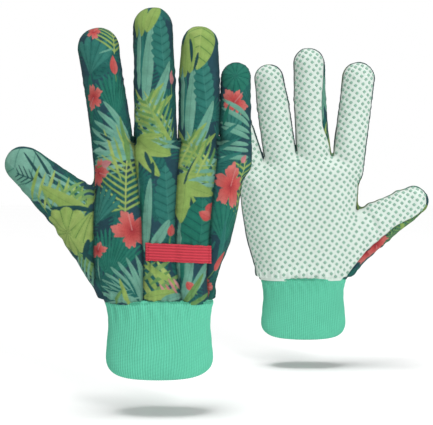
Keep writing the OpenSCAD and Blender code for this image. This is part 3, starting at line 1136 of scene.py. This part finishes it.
def palm_material():
    """Pale mint knit between the grip dots, with painted shade that makes it slightly greyer in the knit's
    hollows.
    """
    n = Nodes("palm_knit", 0.85, 0.15, WHITE)
    cloth = n.attribute("cloth", "Vector")
    knit = n.weave(cloth, 0.8, 0.7)
    fuzz = n.noise(cloth, (0.9, 0.9, 1), 4.0)
    # Painted shade: the knit and fuzz, which also make the bump, darken the colour in their hollows
    colour = n.shade(n.attribute("print", "Color"), n.total(0.9, (knit, 0.1), (fuzz, 0.1)))
    return n.finish(colour, n.math("ADD", knit, n.math("MULTIPLY", fuzz, 0.5)), 0.08)


def dot_material():
    """Soft grey-green PVC drops with a faint shine and uneven colour."""
    n = Nodes("grip_dots", 0.5, 0.0, WHITE)
    place = n.add("ShaderNodeTexCoord").outputs["Object"]
    uneven = n.noise(place, (380, 380, 380), 2.0)
    colour = n.shade(tuple(linear(134, 168, 151)), n.total(0.75, (uneven, 0.5)))
    return n.finish(colour, uneven, 0.05)


def knit_material(name, colour):
    """Rib knit: small stitches up each rib, with painted shade that makes it a little darker between the
    ribs.
    """
    n = Nodes(name, 0.9, 0.1, (0.8, 1.0, 0.92))
    cloth = n.attribute("cloth", "Vector")
    stitches = n.wave(cloth, (0.1, WAVE / 1.1, 1), "DIAGONAL")
    fuzz = n.noise(cloth, (1.3, 1.3, 1), 3.0)
    patches = n.noise(cloth, (0.05, 0.05, 1), 3.0)
    ridge = n.attribute("ridge", "Fac")
    # Painted light and shade: the ridge lightens the colour on each rib's crest and darkens it between the
    # ribs
    tone = n.total(0.55, (stitches, 0.03), (fuzz, 0.08), (patches, 0.12), (ridge, 0.11))
    return n.finish(n.shade(tuple(colour), tone), n.math("ADD", stitches, fuzz), 0.06)


def elastic_material():
    """Woven elastic tape: cords along it, crossed by fine threads, with painted light on the cords' crests
    and painted shade between them and at the stitch bars.
    """
    n = Nodes("elastic_tape", 0.6, 0.1, (1.0, 0.6, 0.6))
    cloth = n.attribute("cloth", "Vector")
    threads = n.wave(cloth, (WAVE / 0.7, 1, 1), "X")
    fuzz = n.noise(cloth, (0.5, 3.0, 1), 3.0)
    # Painted light and shade: the ridge lightens the cords' crests and darkens the colour between them and at
    # the stitch bars
    tone = n.total(0.42, (threads, 0.12), (fuzz, 0.2), (n.attribute("ridge", "Fac"), 0.3))
    colour = n.shade(tuple(linear(206, 66, 80)), tone)
    return n.finish(colour, n.math("ADD", threads, fuzz), 0.08)


# ==== Pieces ====
PALM_CLOTH = linear(204, 216, 208)
NEEDLE_SHADE = 0.42  # painted shade: how much darker the print is painted in the grooves of its seams
SEAM_SHADE = 0.2  # and the painted shade in the soft valley on both sides of them and near the glove's outline


def set_attribute(obj, name, kind, values):
    attribute = obj.data.attributes.new(name, kind, "POINT")
    field = {"FLOAT_COLOR": "color", "FLOAT_VECTOR": "vector", "FLOAT": "value"}[kind]
    attribute.data.foreach_set(field, np.asarray(values, np.float32).ravel())


def cloth_attribute(obj, u, v):
    set_attribute(obj, "cloth", "FLOAT_VECTOR", np.stack([u, v, np.zeros_like(u)], axis=1))


def attach(obj, glove, segment):
    """Fixes a hand piece to the hand. A finger's piece only gets its transform baked in: the ends of its root
    or middle fold are worked out but not used.
    """
    if segment == "hand":
        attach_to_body(obj, f"{glove.name}_hand")
        return
    finger, part = segment
    root, along = glove.root[finger], glove.along[finger]
    if part == "root":
        low, high = ROOT_BEND
    else:
        middle = glove.middle_place(finger)
        low, high = middle - MIDDLE_BEND, middle + MIDDLE_BEND
    start, end = glove.world_point(root + along * low), glove.world_point(root + along * high)
    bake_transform(obj)


def finish_piece(obj, glove, material, segment="hand", node=None):
    """Gives a piece its material, fixes a hand piece to the hand's body, and hides the CAD part that the
    piece stands for.
    """
    obj.data.materials.append(material)
    attach(obj, glove, segment)
    if node:
        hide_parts(f"{glove.name}_{node}")


def segment_cut(glove, finger):
    """Where the cloth of a finger's root ends and that of its tip starts, along the finger."""
    return (ROOT_BEND[1] + glove.middle_place(finger) - MIDDLE_BEND) / 2


class PieceMap:
    """Which piece each face of the cloth belongs to."""

    def __init__(self, sheet, quads):
        glove = sheet.glove
        centre = sheet.rest[quads].mean(1)
        owner = sheet.owner[quads[:, 0]]
        self.palm = (centre[:, 1] > 0) & (sheet.side_gap[quads].mean(1) > 0)
        self.finger = np.zeros(len(quads), int)
        self.tip = np.zeros(len(quads), bool)
        for number, finger in enumerate(FINGERS, start=1):
            s = (centre - glove.root[finger]) @ glove.along[finger]
            mine = (owner == number) & (s > ROOT_CUT)
            self.finger[mine] = number
            self.tip |= mine & (s > segment_cut(glove, finger))
        self.strip = self.strips(glove, centre, self.finger)

    @staticmethod
    def strips(glove, centre, finger):
        """The printed strip: 1 thumb, 2 index, 3 middle, 4 ring, 5 little."""
        x, _, z = centre.T
        strip = np.full(len(x), 2)
        for seam in BACK_SEAMS[glove.name]:
            strip += x > table_value(z, seam)
        thumb_x, low, _ = THUMB_SEAM[glove.name]
        strip = np.where((x < thumb_x) & (z > low - 12) & (z < 130), 1, strip)
        return np.where(finger > 0, finger, strip)

    def pieces(self):
        """Name, chosen faces, segment and printed strip (None for the dotted palm) of every piece."""
        hand = self.finger == 0
        yield "palm_panel", hand & self.palm, "hand", None
        yield "thumb_gusset", hand & ~self.palm & (self.strip == 1), "hand", "thumb"
        for number, finger in enumerate(STRIPS, start=2):
            yield f"{finger}_back_strip", hand & ~self.palm & (self.strip == number), "hand", finger
        for number, finger in enumerate(FINGERS, start=1):
            mine = self.finger == number
            for part, chosen in (("root", mine & ~self.tip), ("tip", mine & self.tip)):
                yield f"{finger}_{part}_palm_side", chosen & self.palm, (finger, part), None
                yield f"{finger}_{part}_back", chosen & ~self.palm, (finger, part), finger


def straighten_seams(sheet, verts, quads, pieces):
    """Slides the vertices on the piece borders onto the exact seam lines."""
    touches_palm = np.zeros(len(verts), bool)
    touches_back = np.zeros(len(verts), bool)
    touches_palm[quads[pieces.palm].ravel()] = True
    touches_back[quads[~pieces.palm].ravel()] = True
    border = touches_palm & touches_back & (np.abs(sheet.side_gap) < 0.6)
    normals = vertex_normals(verts, quads)
    out = sheet.outward[border]
    n = normals[border]
    along = out - (out * n).sum(1, keepdims=True) * n
    size = np.maximum((along**2).sum(1, keepdims=True), 0.15)
    verts[border] += along * np.clip(sheet.side_gap[border][:, None] / size, -0.4, 0.4)
    x, y, z = sheet.rest.T
    for seam in BACK_SEAMS[sheet.glove.name]:
        gap = table_value(z, seam) - x
        close = (np.abs(gap) < 0.3) & (y < 0) & (z < seam[-1][0] - 1)
        verts[close, 0] += gap[close]
    return verts


def cloth_piece(glove, name, sheet, verts, quads, strip, segment, materials):
    """One sewn piece of cloth as its own object, with its print; a hand piece is fixed to the hand's body."""
    q, index = compact(quads, np.arange(len(verts)))
    obj = new_mesh_object(f"{glove.name}_{name}_cloth", glove.world(verts[index]), q)
    if strip:
        u, v = sheet.u[index], sheet.v[index]
        ink = Print(u, v)
        PRINTS[strip](ink)
        # Painted shade: the print is darkened in the seams' grooves, in the soft valleys beside them and near
        # the outline, where the cloth turns away and runs between the fingers
        seam = np.minimum(sheet.back[index], sheet.side[index] + 0.2)
        shadow = NEEDLE_SHADE * bell(seam, 0.9) + SEAM_SHADE * bell(sheet.back[index], 3.6)
        shadow += SEAM_SHADE * smooth_step((3.2 - sheet.edge[index]) / 3.2)
        rgb = ink.colours() * (1 - shadow)[:, None]
        material, slot = materials["print"], "printed_back"
    else:
        u, v = sheet.palm_u[index], sheet.palm_v[index]
        # Painted shade: the palm cloth is darkened in the groove of its side seam
        rgb = PALM_CLOTH * (1 - 0.3 * bell(sheet.side[index], 0.7))[:, None]
        material, slot = materials["palm"], "dotted_palm"
    cloth_attribute(obj, u, v)
    set_attribute(obj, "print", "FLOAT_COLOR", np.concatenate([rgb, np.ones((len(rgb), 1))], axis=1))
    finish_piece(obj, glove, material, segment, name)


# Grip dots stand in staggered rows: how far apart along a row, from row to row, and the rows' slant
DOT_PITCH = 6.15
DOT_ROW = 3.12
DOT_SLANT = 11.0
DOT_SIZE = 1.36
DOT_HEIGHT = 0.45
DOT_START = 110.0  # height of the row that passes through the middle of the glove
DOT_CORNERS = 8
DOT_RINGS = [(1.0, -0.1), (0.93, 0.55), (0.5, 0.95)]  # size and height of each ring of a dot of unit size
DOT_TOP = 1.05
DOT_REACH = (1.14, 0.9)  # a diamond's four tips reach further than the middles of its sides
DOT_OFF_CLOTH = 0.6  # a dot further than this from the cloth's own points is left out
DOT_SEAM_GAP = 0.9
DOT_CUFF_GAP = 2.2
DOT_NEIGHBOURS = 6
DOT_SAME_CLOTH = 2.5  # points further apart than this belong to another finger


def dot_places(low, high):
    """Centres of the dots that lie between two corners of the flat cloth."""
    a = math.radians(DOT_SLANT)
    reach = int(260 / DOT_ROW)
    rows, columns = np.meshgrid(np.arange(-reach, reach), np.arange(-50, 50), indexing="ij")
    s, t = (columns + 0.5 * (rows % 2)) * DOT_PITCH, rows * DOT_ROW
    place = np.stack([s * math.cos(a) + t * math.sin(a), t * math.cos(a) - s * math.sin(a)], axis=-1)
    place = place.reshape(-1, 2) + np.array([0, DOT_START])
    return place[((place > low) & (place < high)).all(axis=1)]


def dot_template():
    """Points and triangles of one low rounded diamond of unit size."""
    verts, faces = [], []
    for ring, (size, height) in enumerate(DOT_RINGS):
        for k in range(DOT_CORNERS):
            a = 2 * math.pi * k / DOT_CORNERS
            reach = size * DOT_REACH[k % 2]
            verts.append((math.cos(a) * reach, math.sin(a) * reach, height))
            if ring:
                a0 = (ring - 1) * DOT_CORNERS + k
                a1 = (ring - 1) * DOT_CORNERS + (k + 1) % DOT_CORNERS
                faces += [(a0, a1, a1 + DOT_CORNERS), (a0, a1 + DOT_CORNERS, a0 + DOT_CORNERS)]
    top = len(verts)
    verts.append((0, 0, DOT_TOP))
    first = top - DOT_CORNERS
    faces += [(first + k, first + (k + 1) % DOT_CORNERS, top) for k in range(DOT_CORNERS)]
    return np.array(verts), np.array(faces)


def dots_by_piece(sheet, verts, quads, piece_of, count):
    """The points of every dot, in a list for each piece. piece_of is -1 off the palm cloth."""
    index = np.nonzero(piece_of >= 0)[0]
    flat = np.stack([sheet.palm_u[index], sheet.palm_v[index]], axis=1)
    tree = kdtree.KDTree(len(index))
    for i, (u, v) in enumerate(flat):
        tree.insert((u, v, 0), i)
    tree.balance()
    normals = vertex_normals(verts, quads)
    shape, _ = dot_template()
    made = [[] for _ in range(count)]
    for place in dot_places(flat.min(0), flat.max(0)):
        near = tree.find_n((place[0], place[1], 0), DOT_NEIGHBOURS)
        first = index[near[0][1]]
        if near[0][2] > DOT_OFF_CLOTH or sheet.side[first] < DOT_SEAM_GAP or sheet.side_gap[first] < 0:
            continue
        if sheet.rest[first, 2] < CUFF_TOP + DOT_CUFF_GAP:
            continue
        apart = [np.linalg.norm(sheet.rest[index[n[1]]] - sheet.rest[first]) for n in near]
        ids = [n[1] for n, distance in zip(near, apart) if distance < DOT_SAME_CLOTH]
        mine = index[ids]
        around = np.column_stack([np.ones(len(ids)), flat[ids] - place])
        centre = np.linalg.lstsq(around, verts[mine], rcond=1e-3)[0][0]
        normal = unit(normals[mine].mean(0))
        side = unit(np.cross(np.array([0, 0, 1.0]), normal))
        axes = np.stack([side * DOT_SIZE, np.cross(normal, side) * DOT_SIZE, normal * DOT_HEIGHT])
        made[piece_of[first]].append(centre + shape @ axes)
    return made


def grip_dots(glove, sheet, verts, quads, pieces, material):
    """The grip dots, moulded onto each palm-side piece as a piece of their own."""
    piece_of = np.full(len(verts), -1)
    palm_pieces = [entry for entry in pieces.pieces() if entry[3] is None]
    for number, (_, chosen, _, _) in enumerate(palm_pieces):
        piece_of[np.unique(quads[chosen])] = number
    made = dots_by_piece(sheet, verts, quads, piece_of, len(palm_pieces))
    shape, triangles = dot_template()
    for (name, _, segment, _), dots in zip(palm_pieces, made):
        if not dots:
            continue
        faces = np.concatenate([triangles + i * len(shape) for i in range(len(dots))])
        obj = new_mesh_object(f"{glove.name}_{name}_dots", glove.world(np.concatenate(dots)), faces)
        finish_piece(obj, glove, material, segment)


# ==== Knit cuff, overlock seam and elastic ====
CUFF_PROFILE = [  # height, half width, half depth, down the outside and up the inside
    (CUFF_TOP + 1.6, 32.6, 15.2),
    (CUFF_TOP + 0.6, 33.9, 16.6),
    (CUFF_TOP - 1.6, 34.2, 17.2),
    (44, 33.0, 17.0),
    (38, 32.2, 16.7),
    (30, 32.3, 16.7),
    (22, 33.1, 17.0),
    (14, 33.8, 17.4),
    (9, 34.0, 17.6),
    (5, 33.8, 17.5),
    (2, 33.1, 17.0),
    (0.6, 32.2, 16.3),
    (0.2, 31.2, 15.6),
    (0.8, 30.4, 15.0),
    (2.5, 30.2, 14.6),
    (14, 30.2, 14.4),
    (30, 30.0, 14.2),
    (CUFF_TOP - 2, 30.4, 14.2),
]
CUFF_RIBS = 104
SAMPLES_PER_RIB = 6
CUFF_ROW = 0.9  # height of one row of the cuff's mesh
RIB_DEPTH = 0.42
RIB_DEPTH_INSIDE = 0.25
OVAL_SQUARENESS = 2.35  # 2 would be an ellipse
OVAL_SAMPLES = 1441


def oval_points(half_w, half_d, count):
    """Evenly spaced points round a soft oval, starting on its thumb side, and the way along it."""
    a = np.linspace(0, 2 * np.pi, OVAL_SAMPLES)
    x = -half_w * np.sign(np.cos(a)) * np.abs(np.cos(a)) ** (2 / OVAL_SQUARENESS)
    y = -half_d * np.sign(np.sin(a)) * np.abs(np.sin(a)) ** (2 / OVAL_SQUARENESS)
    arc = np.concatenate([[0], np.cumsum(np.hypot(np.diff(x), np.diff(y)))])
    even = np.linspace(0, arc[-1], count, endpoint=False)
    return np.interp(even, arc, x), np.interp(even, arc, y), even


def oval_outward(x, y, half_w, half_d):
    return unit(np.stack([x / half_w**2, y / half_d**2, np.zeros(len(x))], axis=1))


def ring_grid(rows, count):
    """Vertex numbers of closed rings of points, with each ring's first vertex again at its end."""
    grid = np.arange(rows * count).reshape(rows, count)
    return np.concatenate([grid, grid[:, :1]], axis=1)


def grid_quads(grid):
    """Quads between the neighbours in a grid of vertex numbers."""
    return np.stack([grid[:-1, :-1], grid[1:, :-1], grid[1:, 1:], grid[:-1, 1:]], axis=-1).reshape(-1, 4)


def other_side(quads):
    """The same quads facing the other way."""
    return quads[:, [0, 3, 2, 1]]


def rim_lift(x, z, half_width):
    """How far the rim curves up towards the two sides of the flattened cuff, fading out upward."""
    r = np.abs(x) / half_width
    return (2.2 * r**2 + 3.0 * r**8) * smooth_step((20 - z) / 20)


def cuff_ring(z, half_w, half_d, outside):
    """One row of the cuff: its points, how high each stands on its rib, and its way round the cuff."""
    count = CUFF_RIBS * SAMPLES_PER_RIB
    x, y, arc = oval_points(half_w, half_d, count)
    p = np.stack([x, y, z + rim_lift(x, z, half_w)], axis=1)
    out = oval_outward(x, y, half_w, half_d)
    wander = 0.55 * noise_at(p, (14, 14, 20), seed=67) + 0.2 * noise_at(p, (6, 6, 9), seed=69)
    rib = 0.5 - 0.5 * np.cos(2 * np.pi * (np.arange(count) / SAMPLES_PER_RIB + wander))
    sag = 0.5 * noise_at(p, (16, 16, 22), seed=61) + 0.12 * noise_at(p, 4, seed=63)
    if not outside:
        return p + out * (sag - RIB_DEPTH_INSIDE * (rib - 0.5))[:, None], rib * 0.5, arc
    ripple = np.sin(2 * np.pi * arc / 7.4 + 2.6 * noise_at(p, 12, seed=65))
    gather = 0.4 * ripple * bell(z - CUFF_TOP + 6, 6)
    depth = RIB_DEPTH * smooth_step((CUFF_TOP + 1 - z) / 2)
    return p + out * (sag + gather + depth * (rib - 0.5))[:, None], rib, arc


def knit_cuff(glove, material):
    """The doubled rib-knit cuff as one sheet: down the outside, round the rolled rim and up the inside."""
    profile = [np.array(column) for column in zip(*CUFF_PROFILE)]
    heights, half_widths, _ = profile
    way = np.concatenate([[0], np.cumsum(np.hypot(np.diff(heights), np.diff(half_widths)))])
    rim = way[np.argmin(heights)]
    rows = np.arange(0, way[-1], CUFF_ROW)
    made = [cuff_ring(*(np.interp(row, way, column) for column in profile), row < rim) for row in rows]
    points, ridges, arcs = (np.concatenate(part) for part in zip(*made))
    count = CUFF_RIBS * SAMPLES_PER_RIB
    faces = grid_quads(ring_grid(len(rows), count))
    obj = new_mesh_object(f"{glove.name}_cuff_knit", glove.world(points), faces)
    cloth_attribute(obj, arcs, np.repeat(rows, count))
    # ridge: each point's height on its rib, which the material turns into painted light on the crests and
    # painted shade between the ribs, weaker on the inside
    set_attribute(obj, "ridge", "FLOAT", ridges)
    finish_piece(obj, glove, material, node="knit_cuff")


# The overlock seam: its oval, its mesh and how far apart its stitches are
OVERLOCK_HALF_WIDTH = 33.7
OVERLOCK_HALF_DEPTH = 16.4
OVERLOCK_POINTS = 900
OVERLOCK_SIDES = 10
OVERLOCK_STITCH = 1.5


def cuff_seam(glove, material):
    """The overlock seam that joins the cuff: a roll of thread wound round the two edges."""
    x, y, arc = oval_points(OVERLOCK_HALF_WIDTH, OVERLOCK_HALF_DEPTH, OVERLOCK_POINTS)
    middle = np.stack([x, y, CUFF_TOP - 0.3 + 0.45 * np.sin(x / 9 + 0.6)], axis=1)
    out = oval_outward(x, y, OVERLOCK_HALF_WIDTH, OVERLOCK_HALF_DEPTH)
    up = np.array([0, 0, 1.0])
    rings, ridges = [], []
    for side in range(OVERLOCK_SIDES):
        a = 2 * np.pi * side / OVERLOCK_SIDES
        wound = 0.5 + 0.5 * np.sin(2 * np.pi * arc / OVERLOCK_STITCH + a)
        size = 0.55 + 0.2 * wound
        rings.append(middle + out * (size * math.cos(a))[:, None] + up * (1.5 * size * math.sin(a))[:, None])
        ridges.append(wound)
    grid = ring_grid(OVERLOCK_SIDES, OVERLOCK_POINTS)
    faces = other_side(grid_quads(np.concatenate([grid, grid[:1]])))
    obj = new_mesh_object(f"{glove.name}_cuff_overlock", glove.world(np.concatenate(rings)), faces)
    round_thread = np.repeat(np.arange(OVERLOCK_SIDES) * 0.6, OVERLOCK_POINTS)
    cloth_attribute(obj, np.tile(arc, OVERLOCK_SIDES), round_thread)
    # ridge: how far the thread is wound out, which the material turns into painted light on the bulges and
    # painted shade between the turns
    set_attribute(obj, "ridge", "FLOAT", np.concatenate(ridges))
    finish_piece(obj, glove, material, node="cuff_seam")


TAPE_COLUMNS = 150
TAPE_ROWS = 49


def surface_depth(verts, x, z):
    """The y of the back's surface over each x, z, smoothed over a few millimetres."""
    near = (verts[:, 1] < 0) & (np.abs(verts[:, 2] - ELASTIC_Z) < 12)
    near &= (verts[:, 0] > ELASTIC_LOW - 6) & (verts[:, 0] < ELASTIC_HIGH + 6)
    p = verts[near]
    out = np.empty(len(x))
    for i, (px, pz) in enumerate(zip(x, z)):
        weight = np.exp(-((p[:, 0] - px) ** 2 + (p[:, 2] - pz) ** 2) / 8)
        out[i] = (weight * p[:, 1]).sum() / weight.sum()
    return out


def tape_points(verts, columns, rows):
    """The tape's outer and inner points, and how high each outer point stands on its cord."""
    x, middle_z = ELASTIC_MIDDLE + columns, ELASTIC_Z + ELASTIC_SLOPE * columns
    base = surface_depth(verts, x, middle_z)
    wave = 0.35 * np.sin(columns * 0.55) + 0.2 * np.sin(columns * 1.3 + 1)
    end = smooth_step((ELASTIC_HALF - np.abs(columns)) / 0.8)
    outer, inner, ridges = [], [], []
    for t in rows:
        z = middle_z + t + wave * 0.15 * (t / rows[-1])
        cord = 0.5 + 0.5 * math.cos(2 * math.pi * t / (ELASTIC_HEIGHT / ELASTIC_CORDS))
        edge = smooth_step((rows[-1] - abs(t)) / 0.7)
        stitch = bell(np.abs(columns) - ELASTIC_HALF + 1.6, 0.5) * (0.6 + 0.4 * np.sin(t * 5.2))
        lift = ELASTIC_THICK * edge * (0.35 + 0.65 * end) + 0.4 * cord * end - 0.55 * stitch + 0.1 * wave
        y = base - 0.35 - lift
        outer.append(np.stack([x, y, z], axis=1))
        inner.append(np.stack([x, np.maximum(y + 1.1, base + 0.6), z], axis=1))
        # ridge: painted light on each cord's crest, and painted shade between the cords and where the
        # stitches sink the tape
        ridges.append(np.full(len(columns), cord) * (1 - 0.6 * stitch))
    return np.concatenate(outer), np.concatenate(inner), np.concatenate(ridges)


def elastic_band(glove, verts, material):
    """Ribbed elastic tape sewn flat across the back of the wrist, with a bar of stitches at each end."""
    columns = np.linspace(-ELASTIC_HALF, ELASTIC_HALF, TAPE_COLUMNS)
    rows = np.linspace(-ELASTIC_HEIGHT / 2, ELASTIC_HEIGHT / 2, TAPE_ROWS)
    outer, inner, ridges = tape_points(verts, columns, rows)
    grid = np.arange(TAPE_ROWS * TAPE_COLUMNS).reshape(TAPE_ROWS, TAPE_COLUMNS)
    front = other_side(grid_quads(grid))
    back = front[:, ::-1] + grid.size
    border = np.concatenate([grid[0], grid[1:, -1], grid[-1, -2::-1], grid[-2:0:-1, 0]])
    following = np.roll(border, -1)
    sides = np.stack([following, border, border + grid.size, following + grid.size], axis=1)
    points = glove.world(np.concatenate([outer, inner]))
    obj = new_mesh_object(f"{glove.name}_elastic_tape", points, np.concatenate([front, back, sides]))
    cloth_attribute(obj, np.tile(columns, 2 * TAPE_ROWS), np.tile(np.repeat(rows, TAPE_COLUMNS), 2))
    set_attribute(obj, "ridge", "FLOAT", np.tile(ridges, 2))
    finish_piece(obj, glove, material, node="elastic_band")


def build_glove(name, materials):
    """One whole glove: the cloth form, blown up, seamed and cut into pieces, then its cuff and elastic."""
    glove = Glove(name)
    spread, quads = base_mesh(glove)
    rest = gather_fingers(glove, spread)
    shaped = simulate_cloth(Sheet(glove, rest, spread), quads)
    columns = np.concatenate([shaped, rest, spread], axis=1)
    for _ in range(2):
        columns, quads = catmull_clark(columns, quads)
    shaped, rest, spread = columns[:, :3], columns[:, 3:6], columns[:, 6:]
    sheet = Sheet(glove, rest, spread)
    verts = detailed(sheet, shaped, quads)
    pieces = PieceMap(sheet, quads)
    verts = straighten_seams(sheet, verts, quads, pieces)
    for piece_name, chosen, segment, strip in pieces.pieces():
        if not chosen.any():
            continue
        cloth_piece(glove, piece_name, sheet, verts, quads[chosen], strip, segment, materials)
    grip_dots(glove, sheet, verts, quads, pieces, materials["dots"])
    knit_cuff(glove, materials["cuff"])
    cuff_seam(glove, materials["overlock"])
    elastic_band(glove, verts, materials["elastic"])


# ==== Floor, light and camera ====
CAMERA_PLACE = (36.4, -548.0, 115.0)
CAMERA_LENS = 71.2
CAMERA_SENSOR = 36
CAMERA_SHIFT = -0.0381
FLOOR_HEIGHT = -23.0
FLOOR_EDGE = 12.0  # metres from the middle to each edge
WORLD_LIGHT = 0.3
OVERHEAD_LIGHT = 2.6
OVERHEAD_SOFTNESS = 32.0
OVERHEAD_TURN = (0.04, -0.1, 0)
FRONT_POWER = 9.5
FRONT_SIZE = 0.5
FRONT_PLACE = Vector((0.62, -0.95, 0.6))
FRONT_AIM = Vector((0.05, 0, 0.12))


def floor_material():
    n = Nodes("pale_floor", 0.9, 0.0, WHITE)
    place = n.add("ShaderNodeTexCoord").outputs["Object"]
    grain = n.noise(place, (3, 3, 3), 2.0)
    colour = n.shade((0.9, 0.9, 0.9), n.total(0.99, (grain, 0.02)))
    return n.finish(colour, grain, 0.01)


def studio_world():
    """White behind the object, and a softer white as light."""
    world = bpy.data.worlds.new("studio")
    world.use_nodes = True
    tree = world.node_tree
    backdrop = tree.nodes["Background"]
    backdrop.inputs[0].default_value = (1, 1, 1, 1)
    path = tree.nodes.new("ShaderNodeLightPath")
    strength = tree.nodes.new("ShaderNodeMapRange")
    strength.inputs["To Min"].default_value = WORLD_LIGHT
    strength.inputs["To Max"].default_value = 1.0
    tree.links.new(path.outputs["Is Camera Ray"], strength.inputs["Value"])
    tree.links.new(strength.outputs[0], backdrop.inputs[1])
    return world


def place_object(name, data, place, rotation):
    obj = bpy.data.objects.new(name, data)
    obj.location = place
    obj.rotation_euler = rotation
    bpy.context.scene.collection.objects.link(obj)
    return obj


def add_lights():
    """A soft light overhead, which makes the shadows on the floor, and a disk in front on the right."""
    sun = bpy.data.lights.new("overhead_light", "SUN")
    sun.energy = OVERHEAD_LIGHT
    sun.angle = math.radians(OVERHEAD_SOFTNESS)
    place_object("overhead_light", sun, (0, 0, 0), OVERHEAD_TURN)
    disk = bpy.data.lights.new("front_light", "AREA")
    disk.shape = "DISK"
    disk.size = FRONT_SIZE
    disk.energy = FRONT_POWER
    toward = (FRONT_AIM - FRONT_PLACE).to_track_quat("-Z", "Y").to_euler()
    place_object("front_light", disk, FRONT_PLACE, toward)


def add_stage():
    """The floor, the lights and the camera, which looks straight ahead from the photograph's height."""
    scene = bpy.context.scene
    scene.world = studio_world()
    signs = ((-1, -1), (1, -1), (1, 1), (-1, 1))
    corners = [(x * FLOOR_EDGE, y * FLOOR_EDGE, FLOOR_HEIGHT * MM) for x, y in signs]
    floor = new_mesh_object("floor", corners, [(0, 1, 2, 3)])
    floor.data.materials.append(floor_material())
    add_lights()
    camera = bpy.data.cameras.new("camera")
    camera.lens = CAMERA_LENS
    camera.sensor_width = CAMERA_SENSOR
    camera.shift_y = CAMERA_SHIFT
    camera.clip_start = 0.01
    camera.clip_end = 100
    scene.camera = place_object("camera", camera, Vector(CAMERA_PLACE) * MM, (math.pi / 2, 0, 0))
    scene.view_settings.view_transform = "Standard"


# ==== Everything in order ====
MATERIALS = {
    "print": printed_material(),
    "palm": palm_material(),
    "dots": dot_material(),
    "cuff": knit_material("rib_knit_cuff", linear(108, 212, 178)),
    "overlock": knit_material("overlock_thread", linear(88, 184, 152)),
    "elastic": elastic_material(),
}
for glove_name in GLOVES:
    build_glove(glove_name, MATERIALS)
add_stage()
